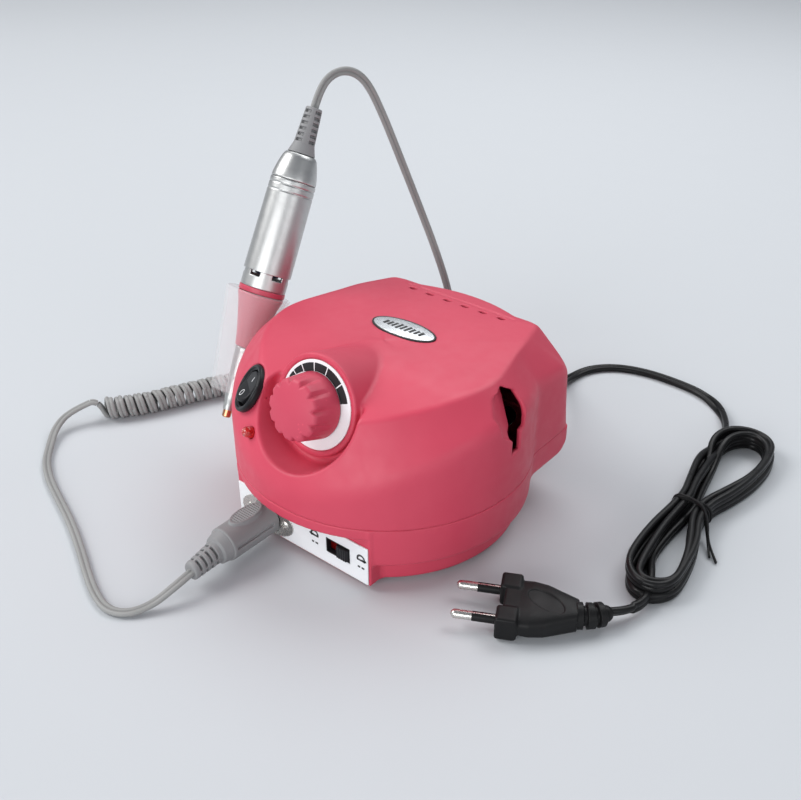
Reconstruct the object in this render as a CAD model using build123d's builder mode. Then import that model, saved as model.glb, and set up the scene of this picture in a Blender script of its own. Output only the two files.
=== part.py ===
from build123d import *
from math import cos, hypot, radians, sin, tan
import os

# Electric nail drill: a domed control box, a motor handpiece in its cradle, and two leads.
# Millimetres, +Z up. It is drawn with the box standing on z = 0, its front towards -Y and
# symmetric about X = 0 outside. At the end every piece moves across by CENTRE_SHIFT, which
# puts the origin under the middle of the whole object, cradle included and leads left out.

# ---------------------------------------------------------------- driving sizes
WALL = 2.2
FOOT_HEIGHT = 2.5
STEP_HEIGHT = 13.0
SEAM_HEIGHT = 33.5
LOBE_X = 72.0
LOBE_Y = 70.5
BOX_X = 60.0
BOX_REAR = 68.5
BOX_REAR_TOP = 64.5
BOX_UNDERSIDE = 18.0
BOX_POWER = 14
BELT_SIDE = 75.0
BELT_DROP = 28.0
BELT_POWER = 1.62
REAR_EDGE = 84.0
REAR_EDGE_X = 41.0
BROW_REACH = 56.0
BROW_HEIGHT = 84.5
CROWN_HEIGHT = 87.4
PANEL_Y = -58.5
PANEL_X = 40.0
PANEL_LOW = 3.5
PANEL_HIGH = 23.5
CHIN_HEIGHT = 28.0
RING_POINTS = 60

DIAL_TILT = 16.0
DIAL_CENTRE = Vector(0, -46, 74.5)
DIAL_RADIUS = 20.0
HOOD_RADIUS = 23.5
POCKET_RADIUS = 26.0

ROCKER_CENTRE = Vector(-37, -49, 70)
ROCKER_NORMAL = Vector(-0.493, -0.657, 0.571).normalized()
ROCKER_ACROSS = Vector(0.8, -0.6, 0)
ROCKER_RADIUS = 11.5
ROCKER_REST_TILT = 9.0
LAMP_CENTRE = Vector(-25.7, -62.5, 58.2)
LAMP_NORMAL = Vector(-0.336, -0.815, 0.472).normalized()

HANDPIECE_LEAN = 27.9
HANDPIECE_TIP = Vector(-86, -25.1, 23.8)
CRADLE_OFFSET = 2.0
CRADLE_RIM = 16.6
CENTRE_SHIFT = (CRADLE_RIM + CRADLE_OFFSET - HANDPIECE_TIP.X - LOBE_X) / 2

SOCKET_X = -21.2
SOCKET_Z = 12.3
SLIDER_X = 22.6
SLIDER_Z = 14.2

GLAND_X = 28.0
GLAND_Z = 26.0
SCREW_PLACES = [(-46, -30), (46, -30), (-46, 36), (46, 36)]
BOSS_TOP = 20.0
BOARD_LOW = 10.0
BOARD_Y = -14.0
POST_PLACES = [(-34, -33), (34, -33), (-34, 5), (34, 5)]

PLUG_TURN = 29.0
PLUG_FACE = Vector(94.6, -36.3, 6.9)

GREY_CORD = 4.4
CURL_DIAMETER = 12.4
MAINS_CORD = 5.2

# Routes of the leads where they lie, from the handpiece round to the plug in the front panel,
# and from the back of the box to the mains plug
UPPER_ROUTE = [
    (-86, 50.5, 166.7), (-86, 54.6, 174.4), (-84.8, 62, 181), (-82, 72, 182), (-79, 81.5, 175.5),
    (-76, 90, 158), (-71.5, 98.5, 134), (-66, 107.5, 107), (-60, 116, 79.5), (-54, 122.5, 52),
    (-50.5, 124.5, 29), (-53.5, 119.5, 11.5), (-64, 106, 3.4), (-75.5, 89.5, 3.2), (-86.4, 75, 6.2),
    (-97, 63, 6.2),
]
CURL_ROUTE = [
    (-97, 63, 6.2), (-112, 46, 6.2), (-126.5, 28, 6.2), (-138, 9.5, 6.2), (-146, -9, 6.2),
    (-153, -27, 6.2), (-166, -43.5, 6.2),
]
LOWER_ROUTE = [
    (-166, -43.5, 6.2), (-173.4, -52.9, 6.2), (-177, -62, 3.6), (-172.5, -72.5, 2.5),
    (-164, -82.5, 2.3), (-152.5, -92.5, 2.3), (-137, -100.5, 2.3), (-119, -107, 2.3),
    (-100, -114, 2.3), (-80, -123, 2.3), (-63, -131.5, 2.3), (-49, -137.5, 2.3), (-37.5, -139.8, 2.3),
    (-28.5, -135.5, 2.4), (-23.5, -126.5, 3.6), (-20.3, -115.9, 8.6), (-20.6, -106.5, 9.8),
]
MAINS_ROUTE = [
    (28, 82, 26), (28, 95, 26), (25.5, 109.5, 21), (20.5, 124.5, 13), (15.5, 139, 6),
    (12.5, 155, 2.8), (15.5, 172, 2.9), (27, 184.5, 2.8), (44, 190.5, 2.9), (64, 191, 2.8),
    (82, 188.5, 2.8), (97, 178.5, 2.8), (107.5, 163, 2.9), (113, 146, 5), (116, 132, 6),
]
TAIL_ROUTE = [(138.5, 14, 4.2), (138.8, 6, 4.3), (136.2, -3.2, 5.4), (131, -10.5, 6.2)]
TIE_ROUTE = [(133, 78, 3), (137, 70, 2.2), (143, 61, 1.4), (150, 53, 0.9)]
HANK_OUTLINE = [
    (109, 120), (111, 136), (118, 150), (127, 159), (136, 155), (141, 138), (142, 118), (139, 95),
    (136, 76), (139, 58), (145, 37), (151, 19), (146, 10), (132, 6), (124, 18), (119, 34), (117, 52),
    (118, 76), (114, 98),
]
HANK_HEIGHT = 12.0
TIE_PLACE = (126.8, 77)

os.makedirs("parts", exist_ok=True)


# ---------------------------------------------------------------- shape helpers
def wall_reach(turn, rear):
    """Plan radius of the side wall at an angle in degrees from the front."""
    across = abs(sin(radians(turn)))
    back = -cos(radians(turn))
    lobe = 1 / hypot(across / LOBE_X, back / LOBE_Y)
    if back <= 0:
        return lobe
    box = ((across / BOX_X) ** BOX_POWER + (back / rear) ** BOX_POWER) ** (-1 / BOX_POWER)
    return max(lobe, box)


def brow_reach(turn):
    """Plan radius of the crease round the top face."""
    across = abs(sin(radians(turn)))
    back = -cos(radians(turn))
    if turn % 360 < 100 or turn % 360 > 260:
        return BROW_REACH
    return min(57.74 / (across + 0.27 * back), (BOX_REAR_TOP - 2.5) / max(back, 0.01))


def belt_height(x, y):
    """Height at which the wall turns inwards."""
    if y < 0:
        return BELT_SIDE - BELT_DROP * (-y / LOBE_Y) ** BELT_POWER
    if abs(x) >= BOX_X - 0.6:
        return BELT_SIDE - 0.1 * y
    return REAR_EDGE - 0.82 * max(0, abs(x) - REAR_EDGE_X)


def brow_height(x, y):
    """Height of the crease round the top face."""
    return BROW_HEIGHT - 7 * (min(y, 0) / 52) ** 2


def shoulder_height(x, y):
    """Height of the top face two thirds of the way out."""
    return CROWN_HEIGHT - 0.8 - 4 * (min(y, 0) / 35) ** 2


def ring(reach, height, inset):
    """Closed curve round the box, one point per step of turn."""
    points = []
    for step in range(RING_POINTS):
        turn = 360 * step / RING_POINTS
        radius = reach(turn)
        x = radius * sin(radians(turn))
        y = -radius * cos(radians(turn))
        shrink = 1 - inset / radius
        points.append((x * shrink, y * shrink, height(x, y) - inset))
    return Wire([Edge.make_spline(points, periodic=True)])


def dome(inset, base):
    """Solid of the domed upper case, drawn in by the inset all round."""
    rings = [
        ring(lambda turn: wall_reach(turn, BOX_REAR), lambda x, y: base + inset, inset),
        ring(lambda turn: wall_reach(turn, BOX_REAR_TOP), belt_height, inset),
        ring(brow_reach, brow_height, inset),
        ring(lambda turn: 0.62 * brow_reach(turn), shoulder_height, inset),
        ring(lambda turn: 0.22 * brow_reach(turn), lambda x, y: CROWN_HEIGHT, inset),
    ]
    return Solid.make_loft(rings, ruled=True)


def turned(plane, axis, outline):
    """Revolve a half outline of (radius, station) points about the axis."""
    with BuildSketch(plane) as profile:
        with BuildLine():
            Polyline(*outline, close=True)
        make_face()
    revolve(profile.sketch, axis=axis)


def disc(plane, radius, low, high, mode=Mode.ADD):
    """Cylinder on a plane between two offsets along its normal."""
    with BuildSketch(plane.offset(low)) as profile:
        Circle(radius)
    extrude(profile.sketch, amount=high - low, mode=mode)


def slab(plane, width, height, low, high, centre=(0, 0), mode=Mode.ADD):
    """Box on a plane between two offsets along its normal."""
    with BuildSketch(plane.offset(low)) as profile:
        with Locations(centre):
            Rectangle(width, height)
    extrude(profile.sketch, amount=high - low, mode=mode)


def cord_path(points):
    """Straight runs joined by the largest arcs that the runs allow."""
    runs = [Vector(b) - Vector(a) for a, b in zip(points, points[1:])]
    radii = []
    for before, after in zip(runs, runs[1:]):
        half_turn = radians(before.get_angle(after)) / 2
        radii.append(0.45 * min(before.length, after.length) / tan(half_turn))
    return FilletPolyline(*points, radius=radii), radii


def lead_tube(route, diameter):
    """Round tube along a lead's route."""
    with BuildLine():
        path, radii = cord_path(route)
    with BuildSketch(Plane(origin=path @ 0, z_dir=path % 0)) as section:
        Circle(diameter / 2)
    sweep(section.sketch, path=path)
    return path, radii


def report_cord(name, path, radii, diameter, volume):
    """Print the length, the arcs and how well the volume matches the section."""
    section = 3.14159265 * diameter ** 2 / 4
    print(f"{name}: length {path.length:.0f} mm, arcs {min(radii):.0f} to {max(radii):.0f} mm,"
          f" volume ratio {volume / (section * path.length):.3f}")


# ---------------------------------------------------------------- planes and axes
GROUND = Plane.XY
dial_plane = Plane(
    origin=DIAL_CENTRE,
    x_dir=(1, 0, 0),
    z_dir=(0, -cos(radians(DIAL_TILT)), sin(radians(DIAL_TILT))),
)
dial_profile = Plane(origin=DIAL_CENTRE, x_dir=(1, 0, 0), z_dir=-dial_plane.y_dir)
dial_axis = Axis(DIAL_CENTRE, dial_plane.z_dir)
rocker_plane = Plane(origin=ROCKER_CENTRE, x_dir=ROCKER_ACROSS, z_dir=ROCKER_NORMAL)
lamp_plane = Plane(origin=LAMP_CENTRE, x_dir=ROCKER_ACROSS, z_dir=LAMP_NORMAL)
lamp_profile = Plane(origin=LAMP_CENTRE, x_dir=lamp_plane.x_dir, z_dir=-lamp_plane.y_dir)
lamp_axis = Axis(LAMP_CENTRE, LAMP_NORMAL)
front_plane = Plane(origin=(0, PANEL_Y, 0), x_dir=(1, 0, 0), z_dir=(0, -1, 0))
handpiece_up = Vector(0, sin(radians(HANDPIECE_LEAN)), cos(radians(HANDPIECE_LEAN)))
handpiece_axis = Axis(HANDPIECE_TIP, handpiece_up)
handpiece_plane = Plane(origin=HANDPIECE_TIP, x_dir=(1, 0, 0), z_dir=handpiece_up)
handpiece_profile = Plane(origin=HANDPIECE_TIP, x_dir=(1, 0, 0), z_dir=-handpiece_plane.y_dir)
cradle_origin = HANDPIECE_TIP - Vector(CRADLE_OFFSET, 0, 0)
cradle_axis = Axis(cradle_origin, handpiece_up)
cradle_profile = Plane(origin=cradle_origin, x_dir=(1, 0, 0), z_dir=-handpiece_plane.y_dir)
cradle_plane = Plane(origin=cradle_origin, x_dir=(1, 0, 0), z_dir=handpiece_up)
socket_plane = Plane(origin=(SOCKET_X, PANEL_Y, SOCKET_Z), x_dir=(1, 0, 0), z_dir=(0, -1, 0))
slider_plane = Plane(origin=(SLIDER_X, PANEL_Y, SLIDER_Z), x_dir=(1, 0, 0), z_dir=(0, -1, 0))
gland_plane = Plane(origin=(GLAND_X, BOX_REAR, GLAND_Z), x_dir=(-1, 0, 0), z_dir=(0, 1, 0))
rocker_pivot = ROCKER_CENTRE - ROCKER_NORMAL * 2
rocker_paddle_side = Plane(
    origin=rocker_pivot,
    x_dir=rocker_plane.y_dir.rotate(Axis((0, 0, 0), ROCKER_ACROSS), -ROCKER_REST_TILT),
    z_dir=ROCKER_ACROSS,
)
rocker_paddle_top = Plane(origin=rocker_pivot, x_dir=ROCKER_ACROSS, z_dir=rocker_paddle_side.y_dir)
plug_exit = Vector(LOWER_ROUTE[-1])
plug_out = (Vector(LOWER_ROUTE[-2]) - plug_exit).normalized()
tail_out = Vector(cos(radians(PLUG_TURN)), sin(radians(PLUG_TURN)), 0)
europlug_plane = Plane(origin=PLUG_FACE, x_dir=(0, 0, 1), z_dir=tail_out)
mains_relief_end = Plane(
    origin=TAIL_ROUTE[-1],
    x_dir=(0, 0, 1),
    z_dir=(Vector(TAIL_ROUTE[-2]) - Vector(TAIL_ROUTE[-1])).normalized(),
)

# ---------------------------------------------------------------- upper shell
outer_dome = dome(0, SEAM_HEIGHT)
inner_dome = dome(WALL, SEAM_HEIGHT - 1)

with BuildPart() as shell_space:
    add(inner_dome)
    disc(dial_plane, POCKET_RADIUS + WALL, -3 - WALL, 45, mode=Mode.SUBTRACT)
    disc(dial_plane, HOOD_RADIUS - WALL, -42, -WALL)

with BuildPart() as screw_bosses:
    with BuildSketch(GROUND.offset(BOSS_TOP + 0.2)):
        with Locations(*SCREW_PLACES):
            Circle(3.6)
    extrude(amount=80)
    add(dome(1, BOSS_TOP - 1), mode=Mode.INTERSECT)
    with BuildSketch(GROUND.offset(BOSS_TOP)):
        with Locations(*SCREW_PLACES):
            Circle(1.6)
    extrude(amount=14, mode=Mode.SUBTRACT)

with BuildPart() as upper_shell:
    add(outer_dome)
    disc(dial_plane, POCKET_RADIUS, -3, 45, mode=Mode.SUBTRACT)
    disc(dial_plane, HOOD_RADIUS, -44, 0)
    add(shell_space.part, mode=Mode.SUBTRACT)
    add(screw_bosses.part)
    # seats for the dial plate, the potentiometer, the switch and the lamp
    disc(dial_plane, DIAL_RADIUS + 0.3, -0.9, 2, mode=Mode.SUBTRACT)
    disc(dial_plane, 3.9, -6, 2, mode=Mode.SUBTRACT)
    disc(rocker_plane, 9.6, -16, 12, mode=Mode.SUBTRACT)
    disc(rocker_plane, ROCKER_RADIUS + 0.3, 0, 12, mode=Mode.SUBTRACT)
    disc(lamp_plane, 2.6, -9, 9, mode=Mode.SUBTRACT)
    # keyhole slots in both sides for the cradle's hook
    for side in (-1, 1):
        side_plane = Plane(origin=(side * 64, 2, 0), x_dir=(0, 1, 0), z_dir=(1, 0, 0))
        with BuildSketch(side_plane) as keyhole:
            with BuildLine():
                Polyline((-3, 54.5), (4.9, 54.5), (4.9, 65), (8.4, 65), (8.8, 76), (8, 80.5),
                         (-2, 79.8), (-6.4, 77), (-6.4, 65.6), (-3, 63), close=True)
            make_face()
        extrude(keyhole.sketch, amount=14, both=True, mode=Mode.SUBTRACT)
    # rear row of vents and the groove behind them
    with BuildSketch(GROUND.offset(80)) as vents:
        with GridLocations(10.8, 1, 6, 1):
            with Locations((0, 55)):
                SlotOverall(4, 1.8)
    extrude(vents.sketch, amount=10, mode=Mode.SUBTRACT)
    # oval seat for the badge
    with BuildSketch(GROUND.offset(CROWN_HEIGHT - 0.6)) as badge_seat:
        with Locations((0, 14.5)):
            Ellipse(18.4, 8.1)
    extrude(badge_seat.sketch, amount=5, mode=Mode.SUBTRACT)
upper_shell.part.label = "upper_shell"

# ---------------------------------------------------------------- lower shell
def tub(inset, low_step, bottom):
    """Foot ring, side wall, rear box and the block behind the front panel."""
    with BuildPart() as tub_form:
        with BuildSketch(GROUND.offset(bottom)):
            Ellipse(66 - inset, 65 - inset)
        extrude(amount=low_step - bottom)
        with BuildSketch(GROUND.offset(low_step)):
            Ellipse(LOBE_X - 0.8 - inset, LOBE_Y - 0.8 - inset)
        with BuildSketch(GROUND.offset(SEAM_HEIGHT)):
            Ellipse(LOBE_X - inset, LOBE_Y - inset)
        loft()
        with BuildSketch(Plane.YZ.offset(inset - BOX_X)):
            with BuildLine():
                Polyline((20, BOX_UNDERSIDE + inset), (59 - inset, BOX_UNDERSIDE + inset),
                         (BOX_REAR - inset, 27 + inset / 2), (BOX_REAR - inset, SEAM_HEIGHT),
                         (20, SEAM_HEIGHT), close=True)
            make_face()
        extrude(amount=2 * (BOX_X - inset))
        with BuildSketch(GROUND.offset(bottom)):
            with Locations((0, PANEL_Y + inset + 15)):
                Rectangle(2 * (PANEL_X + 0.5 - inset), 30)
        extrude(amount=CHIN_HEIGHT - bottom)
        fillet(tub_form.edges().filter_by(Axis.Z).group_by(Axis.Y)[-1], 6)
    return tub_form.part


with BuildPart() as tub_space:
    add(tub(WALL, STEP_HEIGHT + WALL, FOOT_HEIGHT + WALL))
    slab(front_plane, 300, CHIN_HEIGHT + 2 * WALL, -WALL, 40, centre=(0, CHIN_HEIGHT / 2), mode=Mode.SUBTRACT)

with BuildPart() as lower_shell:
    add(tub(0, STEP_HEIGHT, FOOT_HEIGHT))
    # flat front behind the panel, under the overhanging chin
    slab(front_plane, 200, CHIN_HEIGHT, 0, 30, centre=(0, CHIN_HEIGHT / 2), mode=Mode.SUBTRACT)
    add(tub_space.part, mode=Mode.SUBTRACT)
    # bosses for the case screws and posts under the circuit board
    with BuildSketch(GROUND.offset(FOOT_HEIGHT + WALL / 2)):
        with Locations(*SCREW_PLACES):
            Circle(4)
    extrude(amount=BOSS_TOP - FOOT_HEIGHT - WALL / 2)
    with BuildSketch(GROUND.offset(FOOT_HEIGHT + WALL / 2)):
        with Locations(*POST_PLACES):
            Circle(2.5)
    extrude(amount=BOARD_LOW - FOOT_HEIGHT - WALL / 2)
    with BuildSketch(GROUND.offset(FOOT_HEIGHT)):
        with Locations(*SCREW_PLACES):
            Circle(3.3)
    extrude(amount=2.2, mode=Mode.SUBTRACT)
    with BuildSketch(GROUND.offset(FOOT_HEIGHT)):
        with Locations(*SCREW_PLACES):
            Circle(1.75)
    extrude(amount=BOSS_TOP, mode=Mode.SUBTRACT)
    # openings in the front wall: the socket and the slide switch
    disc(socket_plane, 7.7, -4, 1, mode=Mode.SUBTRACT)
    slab(slider_plane, 14.4, 8.4, -4, 1, mode=Mode.SUBTRACT)
    # hole for the mains gland
    disc(gland_plane, 4.6, -8, 4, mode=Mode.SUBTRACT)
lower_shell.part.label = "lower_shell"

# ---------------------------------------------------------------- front panel and its controls
with BuildPart() as front_panel:
    slab(front_plane, 2 * PANEL_X, PANEL_HIGH - PANEL_LOW, 0, 0.8,
         centre=(0, (PANEL_HIGH + PANEL_LOW) / 2))
    disc(socket_plane, 7.7, -1, 2, mode=Mode.SUBTRACT)
    slab(slider_plane, 14.2, 8.2, -1, 2, mode=Mode.SUBTRACT)
front_panel.part.label = "front_panel"

with BuildPart() as din_socket:
    disc(socket_plane, 7.5, -13, 0.6)
    slab(socket_plane, 28, 14.8, -WALL - 1, -WALL)
    disc(socket_plane, 6.85, -9, 1, mode=Mode.SUBTRACT)
    disc(socket_plane, 5.9, -9, 0.4)
    with BuildSketch(socket_plane.offset(0.4)) as pin_holes:
        with PolarLocations(4, 5, start_angle=0, angular_range=180, endpoint=True):
            Circle(0.85)
    extrude(pin_holes.sketch, amount=-9, mode=Mode.SUBTRACT)
din_socket.part.label = "din_socket"

with BuildPart() as socket_screws:
    with BuildSketch(socket_plane.offset(1.3)) as screw_heads:
        with GridLocations(22.2, 1, 2, 1):
            Circle(2.5)
    extrude(screw_heads.sketch, amount=1)
    with BuildSketch(socket_plane.offset(2.3)) as screw_slots:
        with GridLocations(22.2, 1, 2, 1):
            Rectangle(3.4, 0.7)
            Rectangle(0.7, 3.4)
    extrude(screw_slots.sketch, amount=-0.8, mode=Mode.SUBTRACT)
socket_screws.part.label = "socket_screws"

with BuildPart() as socket_flange:
    with BuildSketch(socket_plane.offset(0.8)) as flange_outline:
        Ellipse(16.5, 9.2)
        Circle(8.5, mode=Mode.SUBTRACT)
    extrude(flange_outline.sketch, amount=0.5)
socket_flange.part.label = "socket_flange"

with BuildPart() as slide_switch:
    slab(slider_plane, 25, 10, -WALL - 8, -WALL)
    slab(slider_plane, 14.4, 8.4, -WALL - 4, -WALL, mode=Mode.SUBTRACT)
slide_switch.part.label = "slide_switch"

with BuildPart() as slider_knob:
    slab(slider_plane, 7, 7.6, -WALL - 3.6, 2.3, centre=(3.3, 0))
    fillet(slider_knob.faces().sort_by(Axis.Y)[0].edges(), 0.8)
slider_knob.part.label = "slider_knob"

# ---------------------------------------------------------------- speed control
with BuildPart() as dial_plate:
    disc(dial_plane, DIAL_RADIUS, -0.9, 0)
    disc(dial_plane, 3.9, -2, 1, mode=Mode.SUBTRACT)
dial_plate.part.label = "dial_plate"

with BuildPart() as potentiometer:
    disc(dial_plane, 12, -WALL - 10, -WALL)
    disc(dial_plane, 3.8, -WALL, 3.4)
    disc(dial_plane, 3.05, -WALL - 8, 4, mode=Mode.SUBTRACT)
potentiometer.part.label = "potentiometer"

with BuildPart() as shaft_nut:
    with BuildSketch(dial_plane) as nut_outline:
        RegularPolygon(6.4, 6)
        Circle(3.8, mode=Mode.SUBTRACT)
    extrude(nut_outline.sketch, amount=2.2)
shaft_nut.part.label = "shaft_nut"

with BuildPart() as knob_shaft:
    disc(dial_plane, 3, -WALL - 7, 12)
knob_shaft.part.label = "knob_shaft"

with BuildPart() as speed_knob:
    turned(dial_profile, dial_axis, [
        (0, 12), (3, 12), (3, 4.6), (8, 4.6), (8, 0.5), (14.6, 0.5), (14.6, 1.6), (13.2, 4.5),
        (12.6, 10), (11.9, 15), (10.8, 16.3), (0, 16.8),
    ])
    with BuildSketch(dial_plane.offset(6)) as flutes:
        with PolarLocations(14.2, 10, start_angle=18):
            Circle(2.2)
    extrude(flutes.sketch, amount=12, mode=Mode.SUBTRACT)
speed_knob.part.label = "speed_knob"

# ---------------------------------------------------------------- power switch and lamp
with BuildPart() as rocker_bezel:
    disc(rocker_plane, ROCKER_RADIUS, 0, 2)
    disc(rocker_plane, 9.4, -15, 0)
    with BuildSketch(rocker_plane.offset(-8)) as paddle_well:
        Circle(8.9)
        Rectangle(13.8, 20, mode=Mode.INTERSECT)
    extrude(paddle_well.sketch, amount=12, mode=Mode.SUBTRACT)
    with BuildSketch(rocker_paddle_side.offset(-8.2)) as pin_sockets:
        Circle(1.06)
    extrude(pin_sockets.sketch, amount=16.4, mode=Mode.SUBTRACT)
rocker_bezel.part.label = "rocker_bezel"

with BuildPart() as rocker_paddle:
    with BuildSketch(rocker_paddle_side.offset(-6.5)) as paddle_side:
        with BuildLine():
            Polyline((-8.5, -3), (8.5, -3), (8.5, 4.9), (0, 3.8), (-8.5, 4.9), close=True)
        make_face()
    extrude(paddle_side.sketch, amount=13)
    with BuildSketch(rocker_paddle_top.offset(-5)) as paddle_round:
        Circle(7.9)
    extrude(paddle_round.sketch, amount=15, mode=Mode.INTERSECT)
    with BuildSketch(rocker_paddle_side.offset(-7.8)) as pivot_stubs:
        Circle(1)
    extrude(pivot_stubs.sketch, amount=15.6)
rocker_paddle.part.label = "rocker_paddle"

with BuildPart() as power_lamp:
    turned(lamp_profile, lamp_axis, [
        (0, -7), (2.5, -7), (2.5, 1.1), (2.2, 2.2), (1.3, 3), (0, 3.3),
    ])
power_lamp.part.label = "power_lamp"

with BuildPart() as badge:
    with BuildSketch(GROUND.offset(CROWN_HEIGHT - 0.6)):
        with Locations((0, 14.5)):
            Ellipse(18.1, 7.8)
    extrude(amount=1.3)
badge.part.label = "badge"

# ---------------------------------------------------------------- inside the box
with BuildPart() as circuit_board:
    with BuildSketch(GROUND.offset(BOARD_LOW)):
        with Locations((0, BOARD_Y)):
            Rectangle(76, 48)
    extrude(amount=1.6)
circuit_board.part.label = "circuit_board"

with BuildPart() as capacitors:
    with BuildSketch(GROUND.offset(BOARD_LOW + 1.6)):
        with Locations((-24, -4), (-24, -20)):
            Circle(6.5)
    extrude(amount=24)
    with BuildSketch(GROUND.offset(BOARD_LOW + 1.6)):
        with Locations((-9, -24)):
            Circle(4)
    extrude(amount=13)
capacitors.part.label = "capacitors"

with BuildPart() as heat_sink:
    with BuildSketch(GROUND.offset(BOARD_LOW + 1.6)):
        with Locations((22, 2)):
            Rectangle(26, 2.5)
        with Locations((22, -4)):
            with GridLocations(5.9, 1, 5, 1):
                Rectangle(1.4, 12)
    extrude(amount=22)
heat_sink.part.label = "heat_sink"

with BuildPart() as fuse_holder:
    with BuildSketch(GROUND.offset(BOARD_LOW + 1.6)):
        with Locations((22, -26)):
            Rectangle(24, 8)
    extrude(amount=6)
    with BuildSketch(Plane.YZ.offset(9)):
        with Locations((-26, BOARD_LOW + 9)):
            Circle(2.6)
    extrude(amount=26)
fuse_holder.part.label = "fuse_holder"

with BuildPart() as transformer_core:
    with BuildSketch(Plane.XZ.offset(-44)):
        with Locations((0, FOOT_HEIGHT + WALL + 20)):
            Rectangle(48, 40)
            Rectangle(30, 25, mode=Mode.SUBTRACT)
    extrude(amount=20)
transformer_core.part.label = "transformer_core"

with BuildPart() as transformer_windings:
    with BuildSketch(Plane.XZ.offset(-50)):
        with Locations((0, FOOT_HEIGHT + WALL + 20)):
            Rectangle(30, 25)
    extrude(amount=32)
transformer_windings.part.label = "transformer_windings"

with BuildPart() as cable_gland:
    disc(gland_plane, 4.5, -7, 0)
    disc(gland_plane, 6.4, 0, 2)
    disc(gland_plane, 4.6, 2, 13.5)
    for station in (4, 6.5, 9):
        with BuildSketch(gland_plane.offset(station)) as gland_rib:
            Rectangle(9.6, 5)
            Circle(3.4, mode=Mode.SUBTRACT)
        extrude(gland_rib.sketch, amount=1.1, mode=Mode.SUBTRACT)
cable_gland.part.label = "cable_gland"

with BuildPart() as rubber_feet:
    with BuildSketch(GROUND):
        with GridLocations(72, 84, 2, 2):
            Circle(6)
    extrude(amount=FOOT_HEIGHT)
rubber_feet.part.label = "rubber_feet"

with BuildPart() as case_screws:
    with BuildSketch(GROUND.offset(FOOT_HEIGHT + 0.3)):
        with Locations(*SCREW_PLACES):
            Circle(3.1)
    extrude(amount=1.9)
    with BuildSketch(GROUND.offset(FOOT_HEIGHT + 2)):
        with Locations(*SCREW_PLACES):
            Circle(1.6)
    extrude(amount=27)
case_screws.part.label = "case_screws"

# ---------------------------------------------------------------- cradle on the left side
with BuildPart() as cradle:
    turned(cradle_profile, cradle_axis, [
        (10.5, 14), (13.2, 38), (15.4, 58), (CRADLE_RIM, 66), (15.4, 66.6), (14.1, 58), (11.9, 38),
        (9, 16), (7.6, 15.4), (7.6, 14),
    ])
    with BuildSketch(Plane.YZ.offset(-66.2)) as hook_web:
        with Locations((2, 59)):
            Rectangle(5, 9)
    extrude(hook_web.sketch, amount=-10.3)
    with BuildSketch(Plane.YZ.offset(-66.2)) as hook_head:
        with Locations((2, 59)):
            Rectangle(12, 9)
    extrude(hook_head.sketch, amount=-2.4)
cradle.part.label = "cradle"

# ---------------------------------------------------------------- handpiece
with BuildPart() as nose_tube:
    turned(handpiece_profile, handpiece_axis, [
        (2.36, 4), (2.8, 4), (2.9, 7), (3.5, 10), (4.2, 21), (4.5, 22), (4.4, 23), (5.2, 37.7),
        (4.2, 37.7), (4.2, 66.3), (10.9, 66.3), (10.9, 69), (3.9, 69), (3.9, 62), (2.36, 62),
    ])
nose_tube.part.label = "nose_tube"

with BuildPart() as twist_grip:
    turned(handpiece_profile, handpiece_axis, [
        (4.27, 38), (5.7, 38), (6.3, 42), (7.4, 48), (8.9, 54.5), (10.3, 60.5), (11.3, 64), (11.6, 64.6),
        (11.6, 66), (4.27, 66),
    ])
twist_grip.part.label = "twist_grip"

with BuildPart() as grip_ring:
    turned(handpiece_profile, handpiece_axis, [
        (10.9, 66.4), (11.6, 66.4), (11.6, 69), (10.9, 69),
    ])
grip_ring.part.label = "grip_ring"

with BuildPart() as handpiece_barrel:
    turned(handpiece_profile, handpiece_axis, [
        (10.2, 69), (11.4, 69), (11.6, 72), (11.6, 118), (11.2, 118.3), (11.2, 118.9), (11.6, 119.2),
        (11.6, 121.4), (11.2, 121.7), (11.2, 122.3), (11.6, 122.6), (11.6, 124.6), (10.2, 124.6),
    ])
    with BuildSketch(handpiece_plane.offset(75)) as windows:
        with PolarLocations(11, 6, start_angle=10):
            Rectangle(6, 5)
    extrude(windows.sketch, amount=2.2, mode=Mode.SUBTRACT)
handpiece_barrel.part.label = "handpiece_barrel"

with BuildPart() as motor_can:
    turned(handpiece_profile, handpiece_axis, [
        (1.56, 84), (10.2, 84), (10.2, 118), (1.56, 118), (1.56, 117), (9.6, 117), (9.6, 85), (1.56, 85),
    ])
motor_can.part.label = "motor_can"

with BuildPart() as magnets:
    with BuildSketch(handpiece_plane.offset(87)) as magnet_arcs:
        Circle(9.6)
        Circle(7.8, mode=Mode.SUBTRACT)
        Rectangle(30, 4, mode=Mode.SUBTRACT)
    extrude(magnet_arcs.sketch, amount=26)
magnets.part.label = "magnets"

with BuildPart() as bearings:
    turned(handpiece_profile, handpiece_axis, [(2.06, 64.5), (3.9, 64.5), (3.9, 68), (2.06, 68)])
    turned(handpiece_profile, handpiece_axis, [(1.56, 118), (10.1, 118), (10.1, 121), (1.56, 121)])
bearings.part.label = "bearings"

with BuildPart() as end_cap:
    turned(handpiece_profile, handpiece_axis, [
        (3.5, 138), (7.6, 138), (8.8, 136), (10.6, 130), (11.7, 124.6), (9, 124.6), (9, 128), (3.5, 134),
    ])
end_cap.part.label = "end_cap"

with BuildPart() as handpiece_relief:
    turned(handpiece_profile, handpiece_axis, [
        (0, 134), (3.5, 134), (3.5, 138), (7.2, 138), (5.1, 143), (4, 161.6), (0, 161.6),
    ])
    for station in range(6):
        with BuildSketch(handpiece_plane.offset(144.3 + 2.8 * station)) as relief_slot:
            with PolarLocations(5.6 - 0.2 * station, 4):
                Rectangle(4.2, 1.2)
        extrude(relief_slot.sketch, amount=1.4, mode=Mode.SUBTRACT)
handpiece_relief.part.label = "handpiece_relief"

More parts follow.
